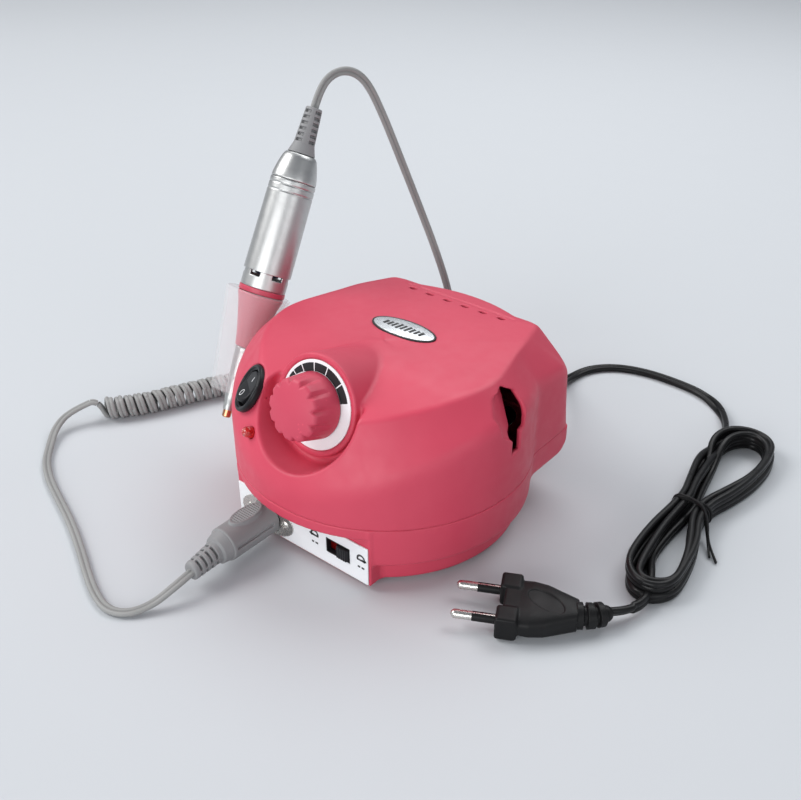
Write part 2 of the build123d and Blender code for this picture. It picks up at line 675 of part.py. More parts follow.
with BuildPart() as collet:
    turned(handpiece_profile, handpiece_axis, [(1.2, 0), (2.3, 0), (2.3, 30), (0, 30), (0, 26), (1.2, 25)])
collet.part.label = "collet"

with BuildPart() as spindle_shaft:
    turned(handpiece_profile, handpiece_axis, [(0, 30), (2, 30), (2, 76), (0, 76)])
spindle_shaft.part.label = "spindle_shaft"

with BuildPart() as coupling:
    turned(handpiece_profile, handpiece_axis, [(0, 76), (6, 76), (6, 81), (0, 81)])
coupling.part.label = "coupling"

with BuildPart() as motor_shaft:
    turned(handpiece_profile, handpiece_axis, [(0, 81), (1.5, 81), (1.5, 122), (0, 122)])
motor_shaft.part.label = "motor_shaft"

with BuildPart() as armature:
    turned(handpiece_profile, handpiece_axis, [
        (1.5, 88), (7.4, 88), (7.4, 110), (3.4, 110), (3.4, 115.5), (1.5, 115.5),
    ])
    with BuildSketch(handpiece_plane.offset(88)) as armature_slots:
        with PolarLocations(6.4, 5):
            Rectangle(3, 1.4)
    extrude(armature_slots.sketch, amount=22, mode=Mode.SUBTRACT)
armature.part.label = "armature"

# ---------------------------------------------------------------- plug of the handpiece lead
with BuildPart() as din_plug:
    disc(socket_plane, 8.25, 1.1, 29)
    slab(socket_plane, 9, 2.4, 6, 22, centre=(0, 8.1))
    for side in (-1, 1):
        slab(socket_plane, 1.2, 1.6, 5, 27, centre=(side * 8.2, 0), mode=Mode.SUBTRACT)
din_plug.part.label = "din_plug"

with BuildPart() as plug_sleeve:
    disc(socket_plane, 6.6, -8.2, 1.1)
    disc(socket_plane, 6.1, -8.2, 1.1, mode=Mode.SUBTRACT)
plug_sleeve.part.label = "plug_sleeve"

with BuildPart() as plug_pins:
    with BuildSketch(socket_plane.offset(1.1)) as pins_outline:
        with PolarLocations(4, 5, start_angle=0, angular_range=180, endpoint=True):
            Circle(0.72)
    extrude(pins_outline.sketch, amount=-9)
plug_pins.part.label = "plug_pins"

with BuildPart() as plug_relief:
    with BuildSketch(socket_plane.offset(29)) as relief_root:
        Circle(6)
    with BuildSketch(Plane(origin=plug_exit, x_dir=(1, 0, 0), z_dir=plug_out)) as relief_end:
        Circle(4.5)
    loft([relief_root.sketch, relief_end.sketch])
plug_relief.part.label = "plug_relief"

# ---------------------------------------------------------------- mains plug
with BuildPart() as mains_plug:
    with BuildSketch(europlug_plane) as plug_face:
        RectangleRounded(12.8, 35.3, 6)
    with BuildSketch(europlug_plane.offset(16)) as plug_middle:
        RectangleRounded(13.6, 34, 6)
    with BuildSketch(europlug_plane.offset(31)) as plug_back:
        RectangleRounded(11, 15, 5)
    loft([plug_face.sketch, plug_middle.sketch, plug_back.sketch], ruled=True)
mains_plug.part.label = "mains_plug"

with BuildPart() as mains_plug_pins:
    with BuildSketch(europlug_plane) as pin_roots:
        with GridLocations(1, 18.2, 1, 2):
            Circle(2)
    extrude(pin_roots.sketch, amount=-19)
mains_plug_pins.part.label = "mains_plug_pins"

with BuildPart() as mains_plug_relief:
    with BuildSketch(europlug_plane.offset(31)) as mains_relief_root:
        Circle(5.2)
    with BuildSketch(mains_relief_end):
        Circle(3.9)
    loft()
mains_plug_relief.part.label = "mains_plug_relief"

# ---------------------------------------------------------------- leads
with BuildPart() as handpiece_cord_upper:
    upper_path, upper_radii = lead_tube(UPPER_ROUTE, GREY_CORD)
handpiece_cord_upper.part.label = "handpiece_cord_upper"
report_cord("handpiece_cord_upper", upper_path, upper_radii, GREY_CORD, handpiece_cord_upper.part.volume)

with BuildPart() as handpiece_cord_curl:
    curl_path, curl_radii = lead_tube(CURL_ROUTE, CURL_DIAMETER)
handpiece_cord_curl.part.label = "handpiece_cord_curl"
report_cord("handpiece_cord_curl", curl_path, curl_radii, CURL_DIAMETER, handpiece_cord_curl.part.volume)

with BuildPart() as handpiece_cord_lower:
    lower_path, lower_radii = lead_tube(LOWER_ROUTE, GREY_CORD)
handpiece_cord_lower.part.label = "handpiece_cord_lower"
report_cord("handpiece_cord_lower", lower_path, lower_radii, GREY_CORD, handpiece_cord_lower.part.volume)

with BuildPart() as mains_lead:
    mains_path, mains_radii = lead_tube(MAINS_ROUTE, MAINS_CORD)
mains_lead.part.label = "mains_lead"
report_cord("mains_lead", mains_path, mains_radii, MAINS_CORD, mains_lead.part.volume)

with BuildPart() as mains_tail:
    tail_path, tail_radii = lead_tube(TAIL_ROUTE, MAINS_CORD)
mains_tail.part.label = "mains_tail"
report_cord("mains_tail", tail_path, tail_radii, MAINS_CORD, mains_tail.part.volume)

with BuildPart() as mains_hank:
    with BuildSketch(GROUND.offset(0.2)):
        with BuildLine():
            Spline(*HANK_OUTLINE, periodic=True)
        make_face()
    extrude(amount=HANK_HEIGHT)
mains_hank.part.label = "mains_hank"

with BuildPart() as twist_tie:
    with BuildSketch(Plane(origin=(TIE_PLACE[0], TIE_PLACE[1] - 1, 0), x_dir=(1, 0, 0), z_dir=(0, -1, 0))):
        with Locations((0, HANK_HEIGHT / 2 + 0.3)):
            Rectangle(19.6, HANK_HEIGHT + 0.6)
            Rectangle(17.8, HANK_HEIGHT - 1.2, mode=Mode.SUBTRACT)
    extrude(amount=-2)
    lead_tube(TIE_ROUTE, 1.4)
twist_tie.part.label = "twist_tie"

PIECES = [
    upper_shell, lower_shell, front_panel, din_socket, socket_flange, socket_screws, slide_switch,
    slider_knob, dial_plate, potentiometer, shaft_nut, knob_shaft, speed_knob, rocker_bezel, rocker_paddle,
    power_lamp, badge, circuit_board, capacitors, heat_sink, fuse_holder, transformer_core,
    transformer_windings, cable_gland, rubber_feet, case_screws, cradle, nose_tube, twist_grip,
    grip_ring, handpiece_barrel, motor_can, magnets, bearings, end_cap, handpiece_relief, collet,
    spindle_shaft, coupling, motor_shaft, armature, din_plug, plug_sleeve, plug_pins, plug_relief,
    mains_plug, mains_plug_pins, mains_plug_relief, handpiece_cord_upper, handpiece_cord_curl,
    handpiece_cord_lower, mains_lead, mains_tail, mains_hank, twist_tie,
]
for piece in PIECES:
    export_step(piece.part.moved(Location((CENTRE_SHIFT, 0, 0))), f"parts/{piece.part.label}.step")
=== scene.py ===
import math

import bmesh
import bpy
import numpy as np
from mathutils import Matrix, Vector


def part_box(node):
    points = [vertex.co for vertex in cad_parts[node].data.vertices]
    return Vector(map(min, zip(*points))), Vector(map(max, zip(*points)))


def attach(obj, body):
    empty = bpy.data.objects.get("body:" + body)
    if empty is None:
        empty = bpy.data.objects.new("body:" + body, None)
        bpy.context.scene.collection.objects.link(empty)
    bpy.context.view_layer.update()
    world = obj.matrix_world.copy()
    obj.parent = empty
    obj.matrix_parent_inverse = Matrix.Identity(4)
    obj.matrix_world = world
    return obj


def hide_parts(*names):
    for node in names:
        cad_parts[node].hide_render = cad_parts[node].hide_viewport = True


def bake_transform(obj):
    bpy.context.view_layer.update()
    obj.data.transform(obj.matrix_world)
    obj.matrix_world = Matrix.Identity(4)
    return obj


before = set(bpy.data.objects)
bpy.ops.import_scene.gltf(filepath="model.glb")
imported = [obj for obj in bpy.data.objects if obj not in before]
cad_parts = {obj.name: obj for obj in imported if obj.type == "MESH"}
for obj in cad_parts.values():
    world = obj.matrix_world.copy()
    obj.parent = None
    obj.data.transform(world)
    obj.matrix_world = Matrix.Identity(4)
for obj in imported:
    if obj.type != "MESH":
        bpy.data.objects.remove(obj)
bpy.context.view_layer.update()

import openvdb
from mathutils import Matrix, Vector

# Electric nail drill. Shapes are drawn in millimetres about the middle of the control box's feet,
# its front towards -Y, and are turned into metres in the row frame as each mesh is made.
feet_low, feet_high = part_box("rubber_feet")
MIDDLE = np.array([(feet_low[0] + feet_high[0]) / 2, (feet_low[1] + feet_high[1]) / 2, 0.0])


def metres(points):
    """Points in the row frame, in metres."""
    return np.asarray(points, float) * 0.001 + MIDDLE


# ---- camera
camera = bpy.data.objects.new("camera", bpy.data.cameras.new("camera"))
camera.data.lens = 45.48
camera.data.sensor_width = 36.0
camera.data.clip_end = 20.0
camera.location = metres((263.25, -310.25, 303.85))
camera.rotation_euler = (math.radians(90 - 31.43), 0.0, math.radians(39.23))
bpy.context.scene.collection.objects.link(camera)
bpy.context.scene.camera = camera


# ---- finishes
class Finish:
    """A material being built node by node."""

    def __init__(self, name):
        self.material = bpy.data.materials.new(name)
        self.material.use_nodes = True
        self.tree = self.material.node_tree
        self.shader = self.tree.nodes["Principled BSDF"]
        self.place = self.node("ShaderNodeTexCoord").outputs["Object"]

    def node(self, kind, **settings):
        made = self.tree.nodes.new(kind)
        for key, value in settings.items():
            setattr(made, key, value)
        return made

    def link(self, source, target):
        self.tree.links.new(source, target)

    def turned(self, lean, stretch):
        """Coordinates turned about X by a lean in degrees, then stretched along each axis."""
        turn = self.node("ShaderNodeMapping")
        turn.inputs["Rotation"].default_value = (math.radians(lean), 0, 0)
        scale = self.node("ShaderNodeMapping")
        scale.inputs["Scale"].default_value = stretch
        self.link(self.place, turn.inputs["Vector"])
        self.link(turn.outputs["Vector"], scale.inputs["Vector"])
        return scale.outputs["Vector"]

    def noise(self, scale, detail=3.0, where=None):
        made = self.node("ShaderNodeTexNoise")
        made.inputs["Scale"].default_value = scale
        made.inputs["Detail"].default_value = detail
        self.link(where or self.place, made.inputs["Vector"])
        return made.outputs["Fac"]

    def spread(self, source, low, high, start=0.3, end=0.7):
        made = self.node("ShaderNodeMapRange")
        made.inputs["From Min"].default_value = start
        made.inputs["From Max"].default_value = end
        made.inputs["To Min"].default_value = low
        made.inputs["To Max"].default_value = high
        self.link(source, made.inputs["Value"])
        return made.outputs["Result"]

    def mix(self, amount, first, second):
        made = self.node("ShaderNodeMix", data_type="RGBA")
        self.link(amount, made.inputs["Factor"])
        for socket, value in ((made.inputs["A"], first), (made.inputs["B"], second)):
            if isinstance(value, (tuple, list)):
                socket.default_value = (*value, 1.0)
            else:
                self.link(value, socket)
        return made.outputs["Result"]

    def edge_mask(self, strength):
        """From 0 on flat parts to the strength on outer edges."""
        edge = self.node("ShaderNodeNewGeometry").outputs["Pointiness"]
        return self.spread(edge, 0.0, strength, 0.51, 0.58)

    def relief(self, height, depth, strength=1.0):
        """Bump of a depth in metres."""
        made = self.node("ShaderNodeBump")
        made.inputs["Strength"].default_value = strength
        made.inputs["Distance"].default_value = depth
        self.link(height, made.inputs["Height"])
        self.link(made.outputs["Normal"], self.shader.inputs["Normal"])

    def done(self, colour, roughness, metallic=0.0, **more):
        self.link(colour, self.shader.inputs["Base Color"])
        self.link(roughness, self.shader.inputs["Roughness"])
        self.shader.inputs["Metallic"].default_value = metallic
        for key, value in more.items():
            self.shader.inputs[key.replace("_", " ")].default_value = value
        return self.material


def plastic(name, colour, dark, rough, grain=2600.0, depth=0.00003, edge=None, **more):
    """Moulded plastic or rubber: fine spark-eroded grain, faint flow marks and outer edges in an edge colour,
    lighter by default.
    """
    made = Finish(name)
    flow = made.spread(made.noise(38.0, 2.0), 0.0, 1.0)
    base = made.mix(flow, colour, dark)
    # outer edges take the edge colour, by default 1.35 times lighter; the grey rubber's given edge colour is
    # a little darker
    edge_toned = made.mix(made.edge_mask(0.35), base, edge or tuple(min(1, 1.35 * c + 0.02) for c in colour))
    scuffs = made.spread(made.noise(160.0, 5.0), rough - 0.05, rough + 0.08)
    made.relief(made.noise(grain, 2.0), depth, 0.6)
    made.shader.inputs["Specular IOR Level"].default_value = 0.2 if max(colour) < 0.05 else 0.42
    return made.done(edge_toned, scuffs, **more)


def metal(name, colour, dark, rough, lean=0.0, stretch=(60, 60, 4000), depth=0.000012, **more):
    """Turned or brushed metal: fine lines across one axis and slight blotches."""
    made = Finish(name)
    lines = made.noise(1.0, 4.0, made.turned(lean, stretch))
    blotch = made.spread(made.noise(120.0, 3.0), 0.0, 1.0)
    base = made.mix(blotch, colour, dark)
    # outer edges are coloured 1.2 times lighter
    edge_lightened = made.mix(made.edge_mask(0.5), base, tuple(min(1, 1.2 * c) for c in colour))
    made.relief(lines, depth, 0.5)
    return made.done(edge_lightened, made.spread(lines, rough - 0.06, rough + 0.1), metallic=1.0, **more)


LEAN = 27.9  # of the handpiece in its cradle, in degrees
FINISHES = {
    "shell": plastic("pink plastic", (0.60, 0.058, 0.105), (0.57, 0.052, 0.096), 0.46, depth=0.00002),
    "knob": plastic("pink knob plastic", (0.56, 0.058, 0.105), (0.53, 0.052, 0.096), 0.48, depth=0.00002),
    "grip": plastic("pink grip plastic", (0.55, 0.065, 0.11), (0.50, 0.055, 0.095), 0.34),
    "panel": plastic("white panel", (0.83, 0.84, 0.86), (0.80, 0.81, 0.83), 0.42, depth=0.000008),
    "dial_black": plastic("black dial print", (0.012, 0.012, 0.014), (0.02, 0.02, 0.022), 0.4),
    "black": plastic("black plastic", (0.012, 0.012, 0.014), (0.018, 0.018, 0.02), 0.33,
                     edge=(0.05, 0.05, 0.055)),
    "mark": plastic("white mark", (0.75, 0.75, 0.76), (0.65, 0.65, 0.66), 0.5),
    # dark red for the slide switch frame: the pink housing behind the panel opening, darkened as painted
    # shade
    "switch_red": plastic("pink plastic in painted shade", (0.45, 0.02, 0.015), (0.35, 0.012, 0.01), 0.35),
    "badge_ink": plastic("dark badge ink", (0.03, 0.03, 0.032), (0.05, 0.05, 0.05), 0.45),
    "grey_rubber": plastic("grey rubber", (0.27, 0.27, 0.275), (0.24, 0.24, 0.245), 0.55,
                           grain=1600.0, depth=0.00005, edge=(0.25, 0.26, 0.27)),
    "grey_cord": plastic("grey lead", (0.28, 0.28, 0.275), (0.25, 0.25, 0.245), 0.48, grain=1500.0),
    "black_rubber": plastic("black rubber", (0.006, 0.006, 0.0065), (0.010, 0.010, 0.0105), 0.45,
                            grain=1500.0, depth=0.00004, edge=(0.018, 0.018, 0.02)),
    "black_cord": plastic("black lead", (0.005, 0.005, 0.0055), (0.008, 0.008, 0.0085), 0.30, grain=900.0),
    "silver": metal("turned aluminium", (0.56, 0.565, 0.56), (0.52, 0.525, 0.52), 0.38, lean=LEAN,
                    depth=0.000005),
    "chrome": metal("nickel", (0.72, 0.70, 0.66), (0.62, 0.60, 0.57), 0.26, stretch=(900, 900, 900)),
    "steel": metal("steel", (0.55, 0.55, 0.57), (0.47, 0.47, 0.49), 0.30, stretch=(400, 2500, 400)),
    "badge": metal("badge metal", (0.74, 0.76, 0.78), (0.66, 0.68, 0.70), 0.30, stretch=(300, 5000, 300)),
    "copper": metal("copper", (0.72, 0.36, 0.20), (0.60, 0.28, 0.15), 0.28, lean=LEAN),
    "iron": metal("laminated iron", (0.16, 0.16, 0.17), (0.10, 0.10, 0.11), 0.5, stretch=(80, 3000, 80)),
    "board": plastic("circuit board", (0.02, 0.14, 0.05), (0.015, 0.10, 0.04), 0.35, grain=900.0),
    "capacitor": plastic("capacitor sleeve", (0.03, 0.035, 0.08), (0.02, 0.025, 0.06), 0.35),
}


def lamp_finish():
    """Deep red moulded lens with a faint glow."""
    made = Finish("red lens")
    cells = made.noise(1500.0, 2.0)
    colour = made.mix(made.spread(cells, 0.0, 1.0), (0.55, 0.008, 0.006), (0.25, 0.002, 0.002))
    made.relief(cells, 0.0001, 0.5)
    made.shader.inputs["Emission Color"].default_value = (1.0, 0.02, 0.01, 1.0)
    return made.done(colour, made.spread(made.noise(300.0), 0.06, 0.16), Emission_Strength=0.04,
                     Coat_Weight=0.8)


def cradle_finish():
    """Frosted see-through plastic with a milky haze along the handpiece."""
    made = Finish("frosted cradle plastic")
    haze = made.noise(70.0, 4.0, made.turned(LEAN, (1.0, 1.0, 0.25)))
    colour = made.mix(made.spread(haze, 0.0, 1.0), (0.93, 0.93, 0.94), (0.85, 0.86, 0.88))
    made.shader.inputs["Alpha"].default_value = 0.15
    made.relief(made.noise(700.0, 4.0), 0.00002, 0.3)
    return made.done(colour, made.spread(made.noise(220.0), 0.22, 0.38), IOR=1.46)


FINISHES["lamp"] = lamp_finish()
FINISHES["clear"] = cradle_finish()


# ---- meshes
CASE = "control_box"


def piece(name, points, faces, finish, body, nodes=(), sharp=None):
    """Makes a smooth-shaded mesh of points in millimetres that rides on a body."""
    mesh = bpy.data.meshes.new(name)
    mesh.from_pydata(metres(points).tolist(), [], faces)
    mesh.validate()
    mesh.shade_smooth()
    if sharp:
        mesh.set_sharp_from_angle(angle=math.radians(sharp))
    mesh.materials.append(FINISHES[finish])
    made = bpy.data.objects.new(name, mesh)
    bpy.context.scene.collection.objects.link(made)
    if nodes:
        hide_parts(*nodes)
    if body:
        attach(made, body)
    return made


def spot(origin, across, out):
    """Matrix whose Z is out and whose X is across, at an origin in millimetres."""
    out = Vector(out).normalized()
    across = Vector(across)
    across = (across - out * across.dot(out)).normalized()
    side = out.cross(across)
    made = Matrix((across, side, out)).transposed().to_4x4()
    made.translation = Vector(origin)
    return np.array(made)


WORLD = np.eye(4)


def local(place, x, y, z):
    """Coordinates in a place's own axes."""
    x, y, z = x - place[0, 3], y - place[1, 3], z - place[2, 3]
    return [place[0, i] * x + place[1, i] * y + place[2, i] * z for i in range(3)]


def join(a, b, soft=0.0):
    """Union of two signed distances, with a fillet of about the given size."""
    return -meet(-a, -b, soft)


def meet(a, b, soft=0.0):
    """Intersection of two signed distances, with a rounded edge of about the given size."""
    if not soft:
        return np.maximum(a, b)
    overlap = np.maximum(soft - np.abs(a - b), 0) / soft
    return np.maximum(a, b) + overlap * overlap * soft / 4


def cut(a, b, soft=0.0):
    return meet(a, -b, soft)


def block(u, v, w, half, centre=(0, 0, 0), corner=0.0):
    """Signed distance of a box with rounded edges."""
    q = [np.abs(t - c) - h + corner for t, c, h in zip((u, v, w), centre, half)]
    outside = np.sqrt(sum(np.maximum(t, 0) ** 2 for t in q))
    return outside + np.minimum(np.maximum(np.maximum(q[0], q[1]), q[2]), 0) - corner


def drum(u, v, w, radius, low, high, corner=0.0):
    """Signed distance of a cylinder about W."""
    side = np.hypot(u, v) - radius + corner
    ends = np.abs(w - (low + high) / 2) - (high - low) / 2 + corner
    outside = np.sqrt(np.maximum(side, 0) ** 2 + np.maximum(ends, 0) ** 2)
    return outside + np.minimum(np.maximum(side, ends), 0) - corner


def oval(u, v, across, along):
    """Signed distance in the plane of an ellipse."""
    near = np.sqrt((u / across) ** 2 + (v / along) ** 2)
    slope = np.sqrt((u / across ** 2) ** 2 + (v / along ** 2) ** 2) + 1e-9
    return near * (near - 1) / slope


def outline(a, b, corners):
    """Signed distance in the plane of a closed outline."""
    nearest = np.full(np.shape(a), 1e9)
    sign = np.ones(np.shape(a))
    for (px, py), (qx, qy) in zip(corners, corners[1:] + corners[:1]):
        ex, ey = px - qx, py - qy
        wx, wy = a - qx, b - qy
        t = np.clip((wx * ex + wy * ey) / (ex * ex + ey * ey), 0, 1)
        nearest = np.minimum(nearest, (wx - t * ex) ** 2 + (wy - t * ey) ** 2)
        above, below, left = b >= qy, b < py, ex * wy > ey * wx
        flip = (above & below & left) | ~(above | below | left)
        sign = np.where(flip, -sign, sign)
    return sign * np.sqrt(nearest)


def sculpt(name, low, high, step, distance, finish, body, nodes=(), place=WORLD):
    """Mesh of the surface where a signed distance is zero, inside a box of the place's axes."""
    axes = [np.arange(a - 2 * step, b + 3 * step, step) for a, b in zip(low, high)]
    grid = openvdb.FloatGrid()
    grid.copyFromArray(distance(*np.meshgrid(*axes, indexing="ij")).astype(np.float32))
    points, triangles, quads = grid.convertToPolygons(0.0, 0.0)
    points = points.astype(float) * step + np.array([axis[0] for axis in axes])
    reach = 0.01
    for _ in range(3):
        here = distance(*points.T)
        slope = np.stack([
            distance(*(points + reach * axis).T) - distance(*(points - reach * axis).T) for axis in np.eye(3)
        ], axis=1) / (2 * reach)
        length = np.maximum((slope ** 2).sum(axis=1), 0.05)
        move = np.clip(here / length, -0.5 * step, 0.5 * step)
        points = points - move[:, None] * slope
    points = points @ place[:3, :3].T + place[:3, 3]
    faces = [face[::-1] for face in triangles.tolist()] + [face[::-1] for face in quads.tolist()]
    return piece(name, points, faces, finish, body, nodes)


def lathe(name, place, profile, finish, body, nodes=(), soften=0.3, around=96):
    """Turned piece: an outline of (radius, station) points, its corners eased, about the place's Z."""
    closed = profile[0][0] > 0 or profile[-1][0] > 0
    line = []
    count = len(profile)
    for i, here in enumerate(profile):
        here = np.array(here, float)
        if here[0] == 0 or (not closed and i in (0, count - 1)):
            line.append(here)
            continue
        before = np.array(profile[i - 1], float) - here
        after = np.array(profile[(i + 1) % count], float) - here
        ease = min(soften, 0.45 * np.hypot(*before), 0.45 * np.hypot(*after))
        start = here + before / np.hypot(*before) * ease
        end = here + after / np.hypot(*after) * ease
        for t in (0, 0.25, 0.5, 0.75, 1):
            line.append((1 - t) ** 2 * start + 2 * t * (1 - t) * here + t * t * end)
    line = np.array(line)
    turns = np.arange(around) * 2 * math.pi / around
    ring = np.stack([np.cos(turns), np.sin(turns)], axis=1)
    points = np.concatenate([
        np.column_stack([radius * ring, np.full(around, station)]) for radius, station in line
    ])
    rows = len(line) if closed else len(line) - 1
    faces = []
    for i in range(rows):
        j = (i + 1) % len(line)
        for k in range(around):
            m = (k + 1) % around
            faces.append((i * around + k, i * around + m, j * around + m, j * around + k))
    made = piece(name, points @ place[:3, :3].T + place[:3, 3], faces, finish, body, nodes, 50)
    shape = bmesh.new()
    shape.from_mesh(made.data)
    bmesh.ops.remove_doubles(shape, verts=shape.verts, dist=1e-7)
    bmesh.ops.dissolve_degenerate(shape, edges=shape.edges, dist=1e-7)
    bmesh.ops.recalc_face_normals(shape, faces=shape.faces)
    shape.to_mesh(made.data)
    shape.free()
    evened = made.modifiers.new("even normals", "WEIGHTED_NORMAL")
    evened.keep_sharp = True
    return made


# ---- cords
def route(points):
    """Points along the spline of a route, in millimetres."""
    line = bpy.data.curves.new("route", "CURVE")
    line.dimensions = "3D"
    line.resolution_u = 8
    spline = line.splines.new("NURBS")
    spline.points.add(len(points) - 1)
    for point, place in zip(spline.points, points):
        point.co = (*place, 1.0)
    spline.order_u = 3
    spline.use_endpoint_u = True
    holder = bpy.data.objects.new("route", line)
    mesh = bpy.data.meshes.new_from_object(holder)
    found = np.array([vertex.co for vertex in mesh.vertices], float)
    bpy.data.objects.remove(holder)
    bpy.data.meshes.remove(mesh)
    bpy.data.curves.remove(line)
    return found


def length_of(points):
    return float(np.linalg.norm(np.diff(points, axis=0), axis=1).sum())


def stations_of(points):
    """Distance along a path of each of its points."""
    return np.concatenate([[0], np.cumsum(np.linalg.norm(np.diff(points, axis=0), axis=1))])


def unit(vectors):
    return vectors / np.maximum(np.linalg.norm(vectors, axis=-1, keepdims=True), 1e-9)


def twin(radius, offset, steps=9):
    """Section of a flat twin lead: two round cores side by side."""
    open_turn = math.acos(-offset / radius)
    arc = np.linspace(-open_turn, open_turn, steps)
    right = np.stack([offset + radius * np.cos(arc), radius * np.sin(arc)], axis=1)
    return np.concatenate([right[:-1], -right[:-1]])


def sweep(name, path, section, facing, finish, body, nodes=()):
    """Section carried along a path, its wide side across the facing vectors."""
    along = unit(np.gradient(path, axis=0))
    wide = unit(np.cross(facing, along))
    thin = np.cross(along, wide)
    rings = path[:, None] + section[:, :1] * wide[:, None] + section[:, 1:] * thin[:, None]
    count = len(section)
    faces = [
        (i * count + k, i * count + (k + 1) % count, (i + 1) * count + (k + 1) % count, (i + 1) * count + k)
        for i in range(len(path) - 1) for k in range(count)
    ]
    last = (len(path) - 1) * count
    faces.append(tuple(range(count))[::-1])
    faces.append(tuple(range(last, last + count)))
    return piece(name, rings.reshape(-1, 3), faces, finish, body, nodes, 40)


UPPER_ROUTE = [
    (-86, 50.5, 166.7), (-86, 54.6, 174.4), (-84.8, 62, 181), (-82, 72, 182), (-79, 81.5, 175.5),
    (-76, 90, 158), (-71.5, 98.5, 134), (-66, 107.5, 107), (-60, 116, 79.5), (-54, 122.5, 52),
    (-50.5, 124.5, 29), (-53.5, 119.5, 11.5), (-64, 106, 3.4), (-75.5, 89.5, 3.2), (-86.4, 75, 6.2),
    (-93, 67.5, 9),
]
CURL_ROUTE = [
    (-97, 63, 6.2), (-112, 46, 6.2), (-126.5, 28, 6.2), (-138, 9.5, 6.2), (-146, -9, 6.2),
    (-153, -27, 6.2), (-166, -43.5, 6.2),
]
LOWER_ROUTE = [
    (-171, -49.5, 11), (-176, -60, 8.2), (-174.5, -71, 4), (-164, -82.5, 1.5), (-152.5, -92.5, 1.4),
    (-137, -100.5, 1.4), (-119, -107, 1.4), (-100, -114, 1.4), (-80, -123, 1.4), (-63, -131.5, 1.4),
    (-49, -137.5, 1.4), (-37.5, -139.8, 1.4), (-28.5, -135.5, 1.8), (-23.5, -126.5, 3.6),
    (-20.3, -115.9, 8.6), (-20.6, -106.5, 9.8), (-21.1, -92, 11.8),
]
MAINS_ROUTE = [
    (28, 76, 26), (28, 84, 26), (28, 95, 26), (25.5, 109.5, 21), (20.5, 124.5, 13), (15.5, 139, 6),
    (12.5, 155, 1.8), (15.5, 172, 1.7), (27, 184.5, 1.7), (44, 190.5, 1.7), (64, 191, 1.7),
    (82, 188.5, 1.7), (97, 178.5, 1.8), (107.5, 163, 3), (112.5, 146, 5),
]
TAIL_ROUTE = [(133, 25, 4.6), (137.5, 15, 4.4), (138.8, 6, 4.3), (136.2, -3.2, 5.4), (130.5, -10.8, 6.4),
              (122, -18, 6.8), (113, -25, 6.9)]

# the curled part: turns round the axis that the route gives, each a little different
axis_line = route(CURL_ROUTE)
stations = stations_of(axis_line)
TURNS = 24.5
PER_TURN = 16


def on_axis(station):
    return np.array([np.interp(station, stations, axis_line[:, i]) for i in range(3)])


helix = []
for count in range(int(TURNS * PER_TURN) + 1):
    part = count / (TURNS * PER_TURN)
    angle = 2 * math.pi * count / PER_TURN
    where = stations[-1] * part + 0.35 * math.sin(9.1 * part + 0.6 * math.sin(31 * part))
    along = unit(on_axis(where + 2) - on_axis(where - 2))
    aside = unit(np.cross(along, (0, 0, 1)))
    radius = 5.1 + 0.12 * math.sin(5.3 * part * TURNS)
    spoke = math.cos(angle) * np.array((0, 0, 1)) + math.sin(angle) * aside
    helix.append(tuple(on_axis(where) + radius * spoke))
grey_path = route(UPPER_ROUTE + helix + [(-168.5, -46.5, 11.6), (-171, -49.5, 11)])
lower_path = route(LOWER_ROUTE)

outward = np.zeros_like(grey_path)
for i, point in enumerate(grey_path):
    where = np.argmin(np.linalg.norm(axis_line - point, axis=1))
    gap = point - axis_line[where]
    drop = min(1.0, max(0.0, (point[2] - 8) / 40))
    hanging = np.array((0.9, -0.44, 0.0)) * drop + np.array((0, 0, 1.0)) * (1 - drop)
    curled = point[0] < -95 and point[1] < 66
    outward[i] = unit(gap) if curled and np.linalg.norm(gap) < 9 else unit(hanging)
for _ in range(3):
    outward[1:-1] = unit(outward[:-2] + 2 * outward[1:-1] + outward[2:])
GREY_SECTION = twin(1.2, 1.0)
upper_lead = sweep("handpiece_lead", grey_path, GREY_SECTION, outward, "grey_cord", None,
                   ("handpiece_cord_upper", "handpiece_cord_curl"))
lower_facing = np.tile((0.0, 0.0, 1.0), (len(lower_path), 1))
lower_lead = sweep("plug_lead", lower_path, GREY_SECTION, lower_facing, "grey_cord", None,
                   ("handpiece_cord_lower",))

# the mains lead: out of the back, round the hank's turns, and out to the plug
HANK_TURNS = 4
LOOSE = [(0, 0), (-1.2, 1.6), (0.8, -0.6), (1.6, 1.0), (0, 0)]  # how far each turn strays, across and along
hank = []
for turn in range(HANK_TURNS + 1):
    track, row = turn // 2, turn % 2
    z = 2.9 + 5.3 * row
    sway, stretch = LOOSE[turn]
    hank += [
        (112.4 + 3.5 * track + sway, 118, z), (116.2 + 3.4 * track, 97, z),
        (119.5 + 3.4 * track, 84, z), (119.7 + 3.4 * track, 71, z),
        (119.5 + 3.2 * track + 0.5 * sway, 54, z), (121 + 3.1 * track + sway, 36, z),
    ]
    if turn == HANK_TURNS:
        break
    hank += [
        (123.6 + 2.6 * track + sway, 21.5 + 2 * track, z),
        (129.8 + track, 11.6 + 3 * track + stretch, z),
        (139 - track, 10.8 + 3 * track + stretch, z + 0.3),
        (146 - 2.8 * track + sway, 19.5 + 2 * track, z + 0.3),
        (145 - 3.1 * track + sway, 34, z + 0.2), (140.8 - 3 * track, 53, z),
        (133.6 - 3.3 * track, 70, z), (133.4 - 3.3 * track, 84, z),
        (137.6 - 3.2 * track, 98, z), (141.5 - 3.3 * track + sway, 118, z),
        (141.2 - 3.2 * track + sway, 139 - 2 * track, z),
        (136 - 1.5 * track, 154.5 - 4 * track - stretch, z + 0.3),
        (123.5 + 1.2 * track, 158.5 - 4.2 * track - stretch, z + 0.5),
        (114 + 3 * track + sway, 148 - 3 * track, z + 2), (111.6 + 3.4 * track + sway, 134, z + 1.4),
    ]
